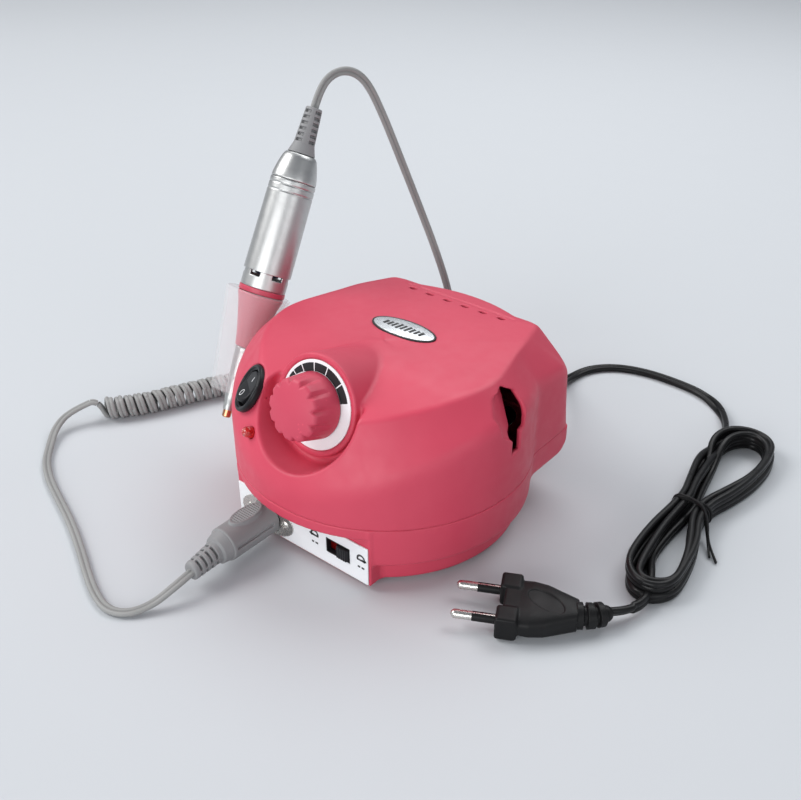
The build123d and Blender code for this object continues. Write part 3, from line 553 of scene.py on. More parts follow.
mains_path = route(MAINS_ROUTE + hank + TAIL_ROUTE)
mains_along = unit(np.gradient(mains_path, axis=0))
mains_aside = unit(np.cross(mains_along, (0, 0, 1)) + 1e-6)
mains_facing = np.zeros_like(mains_path)
for i, point in enumerate(mains_path):
    on_edge = min(1.0, max(0.0, (point[0] - 84) / 20)) if point[1] > 0 else 0.6
    mains_facing[i] = on_edge * mains_aside[i] + (1 - on_edge) * np.array((0, 0, 1.0))
mains_facing = unit(mains_facing)
mains_lead = sweep("mains_lead_visual", mains_path, twin(1.65, 1.25), mains_facing, "black_cord",
                   CASE, ("mains_lead", "mains_tail", "mains_hank"))

# the tie: twice round the hank's waist, then two loose ends
TIE_LOOP = [
    (127, 76.6, 11.8), (134.3, 76.2, 11.4), (136.2, 76, 6.5), (135.2, 76, 0.9), (127, 76, 0.7),
    (118.6, 76.2, 0.8), (117.2, 76.4, 6), (118.6, 76.6, 11), (126, 77, 11.8), (134.5, 77.5, 11.6),
    (136.5, 78, 7), (135.4, 78.4, 0.9), (127, 78.4, 0.7), (118.4, 78.4, 0.8), (117, 78, 6),
    (118.4, 77.6, 11.4), (126, 77.2, 12.6), (133.5, 75, 12), (138, 70.5, 7), (141.5, 64.5, 2.4),
    (146.5, 56, 1.2),
]
TIE_TAIL = [(131, 76.5, 12.3), (135.5, 73, 11), (139.3, 67.5, 5.5), (143.5, 62, 2), (150.5, 54.5, 1.1)]
for name, points, nodes in (("tie_wire", TIE_LOOP, ("twist_tie",)), ("tie_wire_tail", TIE_TAIL, ())):
    path = route(points)
    facing = np.tile((0.0, 1.0, 0.25), (len(path), 1))
    sweep(name, path, twin(0.55, 0.45, 7), facing, "black_rubber", CASE, nodes)

# ---- control box
WALL = 2.2
SEAM = 33.5
PANEL_Y = -58.5
PANEL_TOP = 28
WALL_ACROSS, WALL_ALONG = 72, 70.5
REAR_HALF = 63
DIAL_RADIUS, HOOD_RADIUS, POCKET_RADIUS = 20, 22.9, 25.8
SIN_TILT, COS_TILT = math.sin(math.radians(16)), math.cos(math.radians(16))
DIAL = spot((0, -46, 74.5), (1, 0, 0), (0, -COS_TILT, SIN_TILT))
ROCKER_ACROSS = Vector((0.8, -0.6, 0))
ROCKER_NORMAL = Vector((-0.493, -0.657, 0.571)).normalized()
ROCKER_CENTRE = Vector((-37, -49, 70))
ROCKER = spot(ROCKER_CENTRE, ROCKER_ACROSS, ROCKER_NORMAL)
LAMP = spot((-25.7, -62.5, 58.2), ROCKER_ACROSS, (-0.336, -0.815, 0.472))
SOCKET = spot((-21.2, PANEL_Y, 12.3), (1, 0, 0), (0, -1, 0))
SLIDER = spot((22.6, PANEL_Y, 14.2), (1, 0, 0), (0, -1, 0))
GLAND = spot((28, 68.5, 26), (-1, 0, 0), (0, 1, 0))


def wall_reach(across, back, rear):
    """Reach of the case's plan in a direction: an ellipse in front and a squarish box behind."""
    lobe = 1 / np.hypot(across / WALL_ACROSS, back / WALL_ALONG)
    box = REAR_HALF * (across ** 26 + (np.maximum(back, 0) * REAR_HALF / rear) ** 26 + 1e-13) ** (-1 / 26)
    return np.where(back > 0, np.maximum(lobe, box), lobe)


def case_rings():
    """Reach and height of each crease, from one side round to the other, softened a little."""
    turns = np.radians(np.arange(-180, 180, 1.0))
    across, back = np.abs(np.sin(turns)), -np.cos(turns)
    low = wall_reach(across, back, 68.5)
    belt = wall_reach(across, back, 64.5)
    front_brow = 56 + 2.8 * np.clip(np.degrees(np.abs(turns)) / 40 - 1.25, 0, 1)
    rear_brow = np.minimum(60.6 / (across + 0.27 * back), 62 / np.maximum(back, 0.01))
    brow = np.where(np.abs(turns) < np.radians(100), front_brow, rear_brow)
    ax, ay = belt * across, belt * back
    rear_belt = 84 - 0.82 * np.maximum(0, ax - 41)
    front_belt = 75 - 28 * (np.maximum(-ay, 0) / WALL_ALONG) ** 1.62
    belt_z = np.where(ay < 0, front_belt, np.where(ax >= 62.2, 75 - 0.1 * ay, rear_belt))
    fullness = np.clip((64 - brow * back) / 25, 0, 1)
    brow_z = 84.5 + 2.6 * fullness - 9.6 * (np.minimum(brow * back, 0) / 52) ** 2
    shoulder_z = 86.6 + 0.75 * fullness - 4.75 * (np.minimum(0.62 * brow * back, 0) / 35) ** 2
    flat = np.ones_like(low)
    rings = [(low, SEAM * flat), (belt, belt_z), (brow, brow_z), (0.62 * brow, shoulder_z),
             (0.22 * brow, 87.55 * flat), (0 * flat, 87.65 * flat)]
    spread = np.exp(-0.5 * (np.arange(-6, 7) / 1.3) ** 2)
    spread = spread / spread.sum()
    eased = []
    for reach, height in rings:
        pair = [np.convolve(np.concatenate([v[-6:], v, v[:6]]), spread, "valid") for v in (reach, height)]
        eased.append([np.append(v, v[0]) for v in pair])
    return np.append(turns, math.pi), eased


CASE_TURNS, CASE_RINGS = case_rings()


def dome(x, y, z, inset):
    """Domed upper case: wall, sloping band, crowned top, with soft creases between."""
    radius = np.hypot(x, y)
    turn = np.arctan2(x, -y)
    rings = [[np.interp(turn, CASE_TURNS, v) for v in pair] for pair in CASE_RINGS]
    solid = None
    for (r0, z0), (r1, z1), soft in zip(rings, rings[1:], (0, 3.0, 1.6, 1.5, 1.5)):
        run = np.hypot(r1 - r0, z1 - z0)
        side = ((radius - r0) * (z1 - z0) - (z - z0) * (r1 - r0)) / run
        solid = side if solid is None else meet(solid, side, soft)
    return solid + inset


VENT_PITCH = 10.75


def upper_case(x, y, z):
    """Upper case with the dial's hood and pocket, keyhole slots, vents and badge seat."""
    u, v, w = local(DIAL, x, y, z)
    outer = dome(x, y, z, 0)
    around = np.hypot(u, v)
    flare = 0.12 * np.maximum(w + 3, 0)
    outer = cut(outer, meet(around - POCKET_RADIUS - flare, -(w + 3.0), 2.5), 1.6)
    outer = join(outer, drum(u, v, w, HOOD_RADIUS, -46, 0.2, 0.9), 1.2)
    # a scoop in each side runs back and inwards to the keyhole slot
    ramp_side = outline(y, z, [(-9.9, 77.6), (-7.6, 81), (4, 84), (10.8, 80), (10.3, 65), (0, 62.2),
                               (-6.7, 67.2)])
    ramp_depth = 71 - 0.45 * (z - 67.2) - 0.42 * (y + 6.7) - np.abs(x)
    outer = cut(outer, meet(ramp_side, ramp_depth), 0.4)
    inner = dome(x, y, z, WALL)
    inner = cut(inner, meet(around - POCKET_RADIUS - 2.6 - flare, -(w + 3 + WALL)))
    inner = join(inner, drum(u, v, w, HOOD_RADIUS - 2.3, -44, -WALL))
    inner = cut(inner, meet(meet(ramp_side - WALL, ramp_depth - WALL), y - 7.5))
    shell = cut(outer, inner)
    shell = meet(shell, SEAM + 0.04 - z, 0.35)
    # holes for the dial, the power switch and the lamp
    shell = cut(shell, drum(u, v, w, DIAL_RADIUS + 0.3, -0.9, 3))
    shell = cut(shell, drum(u, v, w, 3.9, -8, 3))
    a, b, c = local(ROCKER, x, y, z)
    shell = cut(shell, drum(a, b, c, 9.6, -4.5, 12))
    shell = cut(shell, drum(a, b, c, 11.8, 0, 12), 0.6)
    a, b, c = local(LAMP, x, y, z)
    shell = cut(shell, drum(a, b, c, 2.7, -9, 9), 0.4)
    # keyhole slots in both sides
    slot = meet(outline(y, z, [(0.4, 54.6), (6.9, 54.6), (6.9, 65), (9.4, 65), (9.8, 75), (8.8, 78), (7, 76),
                               (4.4, 66.5), (0.4, 64.5)]), 50 - np.abs(x))
    shell = cut(shell, slot, 0.4)
    # row of vents and the groove behind them
    vent_x = x - VENT_PITCH * np.clip(np.round(x / VENT_PITCH - 0.5) + 0.5, -2.5, 2.5)
    shell = cut(shell, meet(oval(vent_x, y - 55.3, 2.3, 1.15), 82.5 - z), 0.3)
    groove = meet(np.abs(y - 59.6 + 0.0012 * x * x) - 0.55, np.abs(x) - 32.5)
    shell = cut(shell, meet(groove, 84.1 - z), 0.3)
    return cut(shell, meet(oval(x, y - 14.5, 18.5, 8.2), 86.6 - z), 0.3)


sculpt("upper_case", (-73, -72, 33), (73, 69.5, 99), 0.75, upper_case, "shell", CASE,
       ("upper_shell",))


def tub(x, y, z, inset):
    """Lower case without its openings: a round tub, its foot ring, the rear box and the panel block."""
    wall = oval(x, y, WALL_ACROSS - inset, WALL_ALONG - inset) + 0.04 * (SEAM - z)
    body = meet(wall, 13 + inset - z, 2.5 if inset == 0 else 0)
    foot = meet(oval(x, y, 66 - inset, 65 - inset), 2.5 + inset - z, 1.5 if inset == 0 else 0)
    foot = meet(foot, z - 20)
    slope = (18 - z) * 0.74 + (y - 59) * 0.67 + inset
    rear = meet(block(x, y, z, (62.7 - inset, 40, 30), (0, 28.3 - inset, 48 + inset), 4.5), slope, 2.0)
    front = block(x, y, z, (40.7 - inset, 15, 15 - inset), (0, -43.5 + inset, 17.6 + inset / 2), 0.6)
    return join(join(join(body, foot, 1.0), rear, 2.0), front, 1.5)


SCREW_POSTS = [(-46, -30), (46, -30), (-46, 36), (46, 36)]
BOARD_POSTS = [(-34, -33), (34, -33), (-34, 5), (34, 5)]


def lower_case(x, y, z):
    outer = cut(tub(x, y, z, 0), meet(y - PANEL_Y, z - PANEL_TOP), 0.5)
    inner = cut(tub(x, y, z, WALL), meet(y - PANEL_Y - WALL, z - PANEL_TOP - WALL))
    shell = meet(cut(outer, inner), z - SEAM + 0.04, 0.35)
    for across, along in BOARD_POSTS:
        shell = join(shell, drum(x - across, y - along, z, 2.5, 3.6, 10))
    for across, along in SCREW_POSTS:
        shell = join(shell, drum(x - across, y - along, z, 4, 3.6, 20))
        shell = cut(shell, drum(x - across, y - along, z, 3.3, 0, 4.7))
        shell = cut(shell, drum(x - across, y - along, z, 1.75, 0, 30))
    u, v, w = local(SOCKET, x, y, z)
    shell = cut(shell, drum(u, v, w, 7.7, -4, 3))
    u, v, w = local(SLIDER, x, y, z)
    shell = cut(shell, block(u, v, w, (7.2, 4.2, 4)))
    u, v, w = local(GLAND, x, y, z)
    return cut(shell, drum(u, v, w, 4.6, -8, 4))


sculpt("lower_case", (-72.5, -71, 2), (72.5, 69, 34), 0.75, lower_case, "shell", CASE,
       ("lower_shell",))


def front_plate(u, v, w):
    plate = block(u, v, w, (40, 10, 0.4), (0, 13.5, 0.4), 0.25)
    plate = cut(plate, drum(u + 21.2, v - 12.3, w, 7.7, -1, 2))
    return cut(plate, block(u, v, w, (7.1, 4.1, 2), (22.6, 14.2, 0), 0.5))


FRONT = spot((0, PANEL_Y, 0), (1, 0, 0), (0, -1, 0))
sculpt("front_plate", (-40, 3.5, 0), (40, 23.5, 0.8), 0.3, front_plate, "panel", CASE,
       ("front_panel",), FRONT)


def flange(u, v, w):
    """Thin plated flange of the socket, with pointed ends."""
    body = meet(oval(u, v, 16.5, 9.2), np.abs(w - 1.05) - 0.25, 0.2)
    return cut(body, drum(u, v, w, 8.35, -1, 4))


sculpt("flange_plate", (-17, -9.5, 0.8), (17, 9.5, 1.3), 0.25, flange, "chrome", CASE,
       ("socket_flange",), SOCKET)


def socket(u, v, w):
    """Round socket with five contact holes, on its mounting block."""
    body = join(drum(u, v, w, 7.5, -13, 0.6, 0.4), block(u, v, w, (14, 7.4, 0.5), (0, 0, -2.7), 0.3))
    body = cut(body, drum(u, v, w, 6.85, -9, 1))
    body = join(body, drum(u, v, w, 5.9, -9.2, 0.4, 0.3))
    for turn in range(5):
        angle = math.radians(45 * turn)
        body = cut(body, drum(u - 4 * math.cos(angle), v - 4 * math.sin(angle), w, 0.85, -9, 1))
    return body


sculpt("lead_socket", (-14, -7.6, -13), (14, 7.6, 0.7), 0.35, socket, "black", CASE,
       ("din_socket",), SOCKET)


def screw_heads(u, v, w):
    a = np.abs(u) - 11.1
    head = meet(drum(a, v, w, 2.5, 0.8, 2.3, 0.5), np.sqrt(a * a + v * v + (w + 1.4) ** 2) - 3.75)
    cross = join(block(a, v, w, (1.7, 0.32, 0.7), (0, 0, 2.3)), block(a, v, w, (0.32, 1.7, 0.7), (0, 0, 2.3)))
    return cut(head, cross, 0.15)


sculpt("panel_screws", (-13.7, -2.6, 0.8), (13.7, 2.6, 2.4), 0.18, screw_heads, "chrome", CASE,
       ("socket_screws",), SOCKET)


def switch_frame(u, v, w):
    body = block(u, v, w, (12.5, 5, 4), (0, 0, -6.2), 0.4)
    return cut(body, block(u, v, w, (7.2, 4.2, 3), (0, 0, -3.2)), 0.3)


# the frame is coloured dark red as painted shade on the pink housing in the recess
sculpt("switch_frame", (-12.5, -5, -10.2), (12.5, 5, -2.2), 0.35, switch_frame, "switch_red", CASE,
       ("slide_switch",), SLIDER)


def switch_lip(u, v, w):
    """Dark lip round the switch opening."""
    ring = block(u, v, w, (7.05, 4.05, 1.4), (0, 0, -0.6), 0.3)
    return cut(ring, block(u, v, w, (6.45, 3.45, 3), (0, 0, -0.6)), 0.2)


sculpt("switch_lip", (-7.1, -4.1, -2), (7.1, 4.1, 0.9), 0.22, switch_lip, "black", CASE, (), SLIDER)


def thumb_knob(u, v, w):
    body = block(u, v, w, (3.5, 3.1, 2.95), (2.9, 0, -0.65), 0.35)
    bevel = (np.abs(u - 2.9) - 3.6) * 0.8 + (w - 0.9) * 0.6
    ridges = 0.18 * np.cos((u - 2.9) * 2 * math.pi / 1.3)
    return meet(meet(body, bevel, 0.3), w - 2.15 - ridges, 0.3)


sculpt("direction_knob", (-1, -3.3, -3.7), (7, 3.3, 2.4), 0.18, thumb_knob, "black", "direction_slider",
       ("slider_knob",), SLIDER)


def strips(name, place, lines, finish, body, base, height):
    """Thin strips on a surface, each a line of (left, right) pairs of points."""
    points, faces = [], []
    for line in lines:
        start = len(points)
        for pair in line:
            for edge in pair:
                points += [(*edge, base), (*edge, base + height)]
        end = len(points) - 4
        for a in range(start, end, 4):
            b = a + 4
            faces += [(a + 1, a + 3, b + 3, b + 1), (a, b, b + 2, a + 2),
                      (a, a + 1, b + 1, b), (a + 2, b + 2, b + 3, a + 3)]
        faces += [(start, start + 2, start + 3, start + 1), (end, end + 1, end + 3, end + 2)]
    points = np.array(points) @ place[:3, :3].T + place[:3, 3]
    return piece(name, points, faces, finish, body, (), 30)


def strokes(name, place, lines, half, finish, body, base, height):
    """Strips of an even half width along lines of points."""
    ribbons = []
    for line in lines:
        line = np.array(line, float)
        along = unit(np.gradient(line, axis=0))
        aside = np.stack([-along[:, 1], along[:, 0]], axis=1) * half
        ribbons.append(list(zip(line + aside, line - aside)))
    return strips(name, place, ribbons, finish, body, base, height)


def hook_arrow(cx, cy, flip):
    """A curved arrow that turns one way, and a short bar below it."""
    arc = [(cx + flip * 2.0 * math.cos(t), cy + 2.0 * math.sin(t)) for t in np.linspace(-0.5, 3.6, 12)]
    tip = arc[-1]
    return [arc, [(tip[0] - 1.3, tip[1] + 0.8), tip, (tip[0] + 1.2, tip[1] + 0.9)],
            [(cx - 2.2, cy - 0.6), (cx + 2.2, cy - 0.6)],
            [(cx - 1.9, cy - 4.6), (cx - 0.5, cy - 4.6)], [(cx + 0.3, cy - 4.6), (cx + 1.9, cy - 4.6)]]


strokes("panel_marks", FRONT, hook_arrow(8.7, 16.4, 1) + hook_arrow(36.2, 16.4, -1), 0.5, "badge_ink",
        CASE, 0.79, 0.05)

# ---- speed dial
def dial_disc(u, v, w):
    disc = drum(u, v, w, DIAL_RADIUS, -0.9, 0.05, 0.3)
    return cut(disc, drum(u, v, w, 3.9, -3, 3))


sculpt("dial_disc", (-20, -20, -0.9), (20, 20, 0.1), 0.3, dial_disc, "panel", CASE,
       ("dial_plate",), DIAL)

# the scale: black blocks between thin gaps, their inner edge nearer the rim at the low end
GAP_ANGLES = [157, 144, 126, 103, 78.5, 48, 20]
SCALE_RIM = 18.6
blocks = []
for end, start in zip(GAP_ANGLES, GAP_ANGLES[1:]):
    band = []
    for angle in np.linspace(start + 0.9, end - 0.9, 11):
        inner = np.interp(angle, [20, 120, 127, 145, 157], [14.6, 14.9, 15.4, 16.4, 18.2])
        out = np.array((math.cos(math.radians(angle)), math.sin(math.radians(angle))))
        band.append((inner * out, SCALE_RIM * out))
    blocks.append(band)
strips("dial_scale", DIAL, blocks, "dial_black", CASE, 0.04, 0.06)


FLUTES = 12


def knob(u, v, w):
    """Fluted cap with notches, deepest at the face, that fade out towards the skirt."""
    around = np.hypot(u, v)
    angle = np.arctan2(v, u)
    lobe = np.abs(((angle * FLUTES / (2 * math.pi)) % 1.0) - 0.5) * 2
    notch = np.maximum(0, 1 - lobe / 0.5)
    depth = 2.0 * np.clip((w - 3.0) / 12.0, 0, 1) ** 1.1
    reach = 15.0 - 0.09 * w - depth * notch
    body = meet((around - reach) * 0.8, w - (16.9 - 0.012 * around ** 2), 1.3)
    body = meet(body, 0.5 - w, 0.4)
    hollow = meet(around - 8, w - 4.6)
    return cut(cut(body, hollow), drum(u, v, w, 3.0, 0, 12))


sculpt("knob", (-15.3, -15.3, 0.4), (15.3, 15.3, 17.2), 0.3, knob, "knob", "speed_dial",
       ("speed_knob",), DIAL)


# ---- power switch and lamp
def bezel(u, v, w):
    ring = drum(u, v, w, 11.5, -1, 2.2, 1.0)
    ring = cut(ring, meet(np.hypot(u, v) - 9.7, 1.5 - w), 0.5)
    body = join(ring, drum(u, v, w, 9.3, -3.8, 0.5))
    body = join(body, block(u, v, w, (5.5, 5.5, 5.6), (0, 0, -9.4), 0.5))
    well = meet(np.hypot(u, v) - 8.9, np.abs(u) - 6.95)
    return cut(body, meet(well, -3.2 - w), 0.4)


sculpt("switch_bezel", (-11.6, -11.6, -15), (11.6, 11.6, 2.3), 0.3, bezel, "black", CASE,
       ("rocker_bezel",), ROCKER)
tilt_turn = Matrix.Rotation(math.radians(-9), 3, ROCKER_ACROSS)
rocker_up = tilt_turn @ ROCKER_NORMAL.cross(ROCKER_ACROSS)
paddle_pivot = ROCKER_CENTRE - ROCKER_NORMAL * 2
PADDLE = spot(paddle_pivot, ROCKER_ACROSS, ROCKER_ACROSS.cross(rocker_up))


def paddle(u, v, w):
    """Rocker with two slightly dished faces; v runs along its length, w out of it."""
    side = outline(v, w, [(-8.5, -3), (8.5, -3), (8.5, 4.9), (0, 3.8), (-8.5, 4.9)])
    body = meet(meet(side, np.abs(u) - 6.5, 0.6), np.hypot(u, v) - 7.9, 1.0)
    return join(body, meet(np.hypot(v, w) - 1, np.abs(u) - 7.8))


sculpt("paddle", (-8, -8, -3.1), (8, 8, 5), 0.25, paddle, "black", "power_rocker", ("rocker_paddle",), PADDLE)
OFF_RING = [(1.15 * math.cos(t), -4.1 + 1.55 * math.sin(t)) for t in np.linspace(0, 2 * math.pi, 25)]
ON_BAR = [(0, 2.7), (0, 4), (0, 5.4)]
for name, mark, lean in (("rocker_off_mark", OFF_RING, 0.128), ("rocker_on_mark", ON_BAR, -0.128)):
    face = spot((PADDLE @ np.array((0, 0, 3.8, 1)))[:3], ROCKER_ACROSS,
                Vector(PADDLE[:3, 2]) + Vector(PADDLE[:3, 1]) * lean)
    strokes(name, face, [mark], 0.16, "mark", "power_rocker", 0.0, 0.07)


def lamp(u, v, w):
    around = np.hypot(u, v)
    facets = 0.16 * np.cos(6 * np.arctan2(v, u)) * np.clip(w, 0, 2) / 2
    lens = np.sqrt(around ** 2 + (np.maximum(w, 0.6) - 0.6) ** 2) - 2.55 + facets * 0.6
    return meet(lens, -7 - w, 0.3)


sculpt("lamp_lens", (-2.7, -2.7, -7), (2.7, 2.7, 3.3), 0.16, lamp, "lamp", CASE,
       ("power_lamp",), LAMP)


# ---- badge
BADGE = spot((0, 14.5, 86.8), (1, 0, 0), (0, 0, 1))


def badge(u, v, w):
    return meet(oval(u, v, 17.3, 7.0), np.abs(w - 0.35 + 0.0012 * (u * u + 5 * v * v)) - 0.55, 0.3)


def badge_rim(u, v, w):
    ring = meet(oval(u, v, 18.1, 7.8), np.abs(w - 0.1) - 0.5, 0.4)
    return cut(ring, meet(oval(u, v, 17.2, 6.9), -1 - w))


sculpt("badge_plate", (-17.5, -7.2, -0.9), (17.5, 7.2, 1.0), 0.2, badge, "badge", CASE,
       ("badge",), BADGE)
sculpt("badge_rim", (-18.3, -8, -0.5), (18.3, 8, 0.8), 0.2, badge_rim, "badge_ink", CASE, (), BADGE)
slants = []
for k in range(9):
    x = -10.4 + 2.6 * k
    tall = 1.5 + 0.9 * math.cos(0.35 * (k - 4)) ** 2 * (0.6 + 0.4 * (k % 2))
    slants.append([(x - 0.25 * tall, -tall), (x, 0), (x + 0.25 * tall, tall)])
strokes("badge_motif", BADGE, slants, 0.72, "badge_ink", CASE, 0.55, 0.42)

# ---- back and underside
def gland(u, v, w):
    body = join(drum(u, v, w, 4.5, -7, 0.5), drum(u, v, w, 6.4, 0, 2, 0.6), 0.4)
    neck = meet(np.hypot(u, v) - 4.7 + 0.05 * (w - 2), np.abs(w - 7.7) - 5.8, 0.4)
    ribs = meet(cut(np.abs(v) - 2.4, np.hypot(u, v) - 3.4), np.abs(((w - 4) / 2.5) % 1 * 2.5 - 0.55) - 0.55)
    neck = cut(neck, meet(ribs, np.abs(w - 7) - 3.6), 0.2)
    return join(body, neck, 0.3)


sculpt("lead_gland", (-6.5, -6.5, -7), (6.5, 6.5, 13.6), 0.25, gland, "black_rubber", CASE,
       ("cable_gland",), GLAND)


def feet(x, y, z):
    a, b = np.abs(x) - 36, np.abs(y) - 42
    foot = drum(a, b, z, 6, 0.02, 2.5, 0.5)
    return cut(foot, drum(a, b, z, 2.2, -1, 0.8), 0.3)


sculpt("feet", (-42, -48, 0), (42, 48, 2.5), 0.35, feet, "black_rubber", CASE, ("rubber_feet",))

# ---- handpiece
UP = (0, math.sin(math.radians(LEAN)), math.cos(math.radians(LEAN)))
TIP = Vector((-86, -25.1, 23.8))
HAND = spot(TIP, (1, 0, 0), UP)
CRADLE = spot(TIP - Vector((2, 0, 0)), (1, 0, 0), UP)

lathe("nose", HAND, [
    (2.36, 4), (2.8, 4), (2.95, 7), (3.5, 10), (3.9, 15), (4.2, 21), (4.5, 22), (4.4, 23), (5.2, 37.7),
    (4.2, 37.7), (4.2, 66.3), (10.9, 66.3), (10.9, 69), (3.9, 69), (3.9, 62), (2.36, 62),
], "silver", "handpiece", ("nose_tube",), 0.4)
lathe("twist_grip_visual", HAND, [
    (4.27, 38), (5.7, 38), (6.0, 40), (6.3, 42), (7.4, 48), (8.9, 54.5), (10.3, 60.5), (11.3, 64),
    (11.6, 64.6), (11.6, 66), (4.27, 66),
], "grip", "lock_grip", ("twist_grip",), 1.0)
lathe("grip_ring_visual", HAND, [(10.9, 66.4), (11.8, 66.4), (11.8, 69), (10.9, 69)], "grip", "handpiece",
      ("grip_ring",), 0.3)


def barrel(u, v, w):
    """Barrel with a slim collar, six cooling windows in it and two grooves near the cap."""
    around = np.hypot(u, v)
    reach = np.where(w < 77.4, 11.6, 12.2 - 0.6 * (w - 77.4) / 40)
    for groove in (118.6, 122.0):
        reach = reach - 0.3 * np.clip(1.5 - np.abs(w - groove) / 0.28, 0, 1)
    tube = meet(around - reach, np.abs(w - 96.8) - 27.8, 0.5)
    tube = cut(tube, around - 10.2)
    angle = np.arctan2(v, u) - math.radians(12)
    sector = (angle + math.pi) % (2 * math.pi / 6) - math.pi / 6
    window = meet(np.abs(sector) * around - 2.8, np.abs(w - 76.2) - 1.15, 0.4)
    return cut(tube, window, 0.25)


sculpt("barrel", (-12.5, -12.5, 68.8), (12.5, 12.5, 124.8), 0.3, barrel, "silver", "handpiece",
       ("handpiece_barrel",), HAND)
lathe("cap", HAND, [
    (3.5, 138.2), (7.4, 138.2), (8.6, 136.6), (9.6, 133.6), (10.5, 130.2), (11.2, 127), (11.5, 124.7),
    (9, 124.7), (9, 128), (3.5, 134),
], "silver", "handpiece", ("end_cap",), 0.8)


def relief(u, v, w):
    """Tapered sleeve with four rows of slots."""
    around = np.hypot(u, v)
    reach = np.interp(w, [134, 138, 138.4, 143, 143.6, 161.8], [3.5, 3.5, 7.0, 5.5, 5.3, 4.1])
    body = meet(meet(around - reach, w - 161.6, 0.8), 134 - w)
    sector = (np.arctan2(v, u) + math.pi / 4) % (math.pi / 2) - math.pi / 4
    slot = meet(np.abs((w - 143.4) % 2.9 - 1.45) - 0.75, np.abs(w - 152.1) - 8.7)
    window = meet(meet(slot, np.abs(sector) * around - 2.2), reach - 1.5 - around)
    return cut(body, window, 0.25)


sculpt("handpiece_strain_relief", (-7.2, -7.2, 134), (7.2, 7.2, 161.8), 0.25, relief, "grey_rubber",
       "handpiece", ("handpiece_relief",), HAND)


def cradle(u, v, w):
    """Tapered open cup, its web and the flat hook head that sits in the slot."""
    around = np.hypot(u, v)
    wall = outline(around, w, [
        (10.5, 14), (13.2, 38), (15.4, 58), (16.6, 66), (15.4, 66.6), (14.1, 58), (11.9, 38), (9, 16),
        (7.6, 15.4), (7.6, 14),
    ]) - 0.05
    x, y, z = [CRADLE[i, 0] * u + CRADLE[i, 1] * v + CRADLE[i, 2] * w + CRADLE[i, 3] for i in range(3)]
    web = block(x, y, z, (5.1, 2.5, 4.5), (-71.3, 2, 59), 0.4)
    head = block(x, y, z, (1.2, 6, 4.5), (-67.4, 2, 59), 0.4)
    return join(join(wall, cut(web, around - 12), 0.6), head, 0.3)


sculpt("cradle_visual", (-17, -17, 14), (28, 17, 67), 0.4, cradle, "clear", CASE, ("cradle",),
       CRADLE)
lathe("collet_tip", HAND, [(1.2, 0), (1.9, 0), (2.3, 0.5), (2.3, 30), (0, 30), (0, 26), (1.2, 25)],
      "copper", "spindle", ("collet",), 0.2)


# ---- plug of the handpiece lead
def din_body(u, v, w):
    """Moulded body with a ribbed thumb pad and two side grooves."""
    around = np.hypot(u, v)
    body = meet(around - 8.25, np.abs(w - 15.05) - 13.95, 1.0)
    pad = meet(oval(u, w - 14, 4.6, 9.6), np.abs(v - 8.0) - 1.3, 0.8)
    body = join(body, pad, 0.6)
    ridge = meet(np.abs((w / 1.3) % 1 * 1.3 - 0.65) - 0.28, meet(oval(u, w - 14, 3.7, 8.4), 8.9 - v))
    body = cut(body, ridge, 0.25)
    for side in (-1, 1):
        body = cut(body, block(u, v, w, (0.9, 0.7, 11), (side * 8.2, 1.0, 16), 0.3), 0.3)
    return body


sculpt("din_body", (-8.5, -8.5, 1), (8.5, 9.5, 29.1), 0.28, din_body, "grey_rubber", "lead_plug",
       ("din_plug",), SOCKET)
lathe("din_sleeve", SOCKET, [(6.1, -8.2), (6.6, -8.2), (6.6, 1.1), (6.1, 1.1)], "chrome", "lead_plug",
      ("plug_sleeve",), 0.1)


def din_relief(u, v, w):
    around = np.hypot(u, v + 0.14 * (w - 29))
    reach = np.interp(w, [29, 33, 33.6, 47, 50], [7.6, 6.6, 5.4, 4.4, 3.6])
    body = meet(meet(around - reach, w - 48.2, 0.8), 28.6 - w)
    slot = meet(np.abs((w - 35.0) % 2.9 - 1.45) - 0.6, np.abs(w - 40.6) - 5.8)
    side = np.minimum(np.abs(u), np.abs(v + 0.14 * (w - 29)))
    slot = meet(meet(slot, 0.6 - side), -(around - reach + 1.8))
    return cut(body, slot, 0.25)


sculpt("din_relief", (-8, -10, 28.6), (8, 8, 48.4), 0.28, din_relief, "grey_rubber", "lead_plug",
       ("plug_relief",), SOCKET)

# ---- mains plug
TURN = math.radians(27.5)
PIN_OFFSET = 9.1
EURO = spot((92.6, -35.9, 6.7), (-math.sin(TURN), math.cos(TURN), 0), (math.cos(TURN), math.sin(TURN), 0))


def euro_body(u, v, w):
    """u runs across the two pins, v up and w back towards the lead."""
    half = np.interp(w, [0, 9, 14, 20, 26, 33.5], [14.2, 14.4, 14.4, 13.0, 10.0, 6.4])
    thick = np.interp(w, [0, 9, 14, 22, 33.5], [4.9, 5.1, 5.6, 5.9, 5.2])
    shape = (np.abs(u / half) ** 3.4 + np.abs(v / thick) ** 3.4) ** (1 / 3.4)
    body = meet((shape - 1) * thick * 0.8, np.abs(w - 18) - 15.6, 0.7)
    shoulder = block(np.abs(u), v, w, (4.8, 5.7, 4.6), (10.4, 0, 4.6), 1.3)
    body = join(body, shoulder, 0.8)
    across, along = 0.82 * u + 0.57 * (w - 20), 0.82 * (w - 20) - 0.57 * u
    panel = meet(oval(across, along, 4.6, 9.0), 5.0 - np.abs(v))
    return cut(body, panel, 0.4)


sculpt("mains_plug_body", (-16.8, -6.5, 0), (16.8, 6.5, 33.7), 0.35, euro_body, "black_rubber", CASE,
       ("mains_plug",), EURO)


def euro_pins(u, v, w):
    a = np.abs(u) - PIN_OFFSET
    return meet(np.sqrt(a * a + v * v + np.minimum(w + 17, 0) ** 2) - 2.0, w)


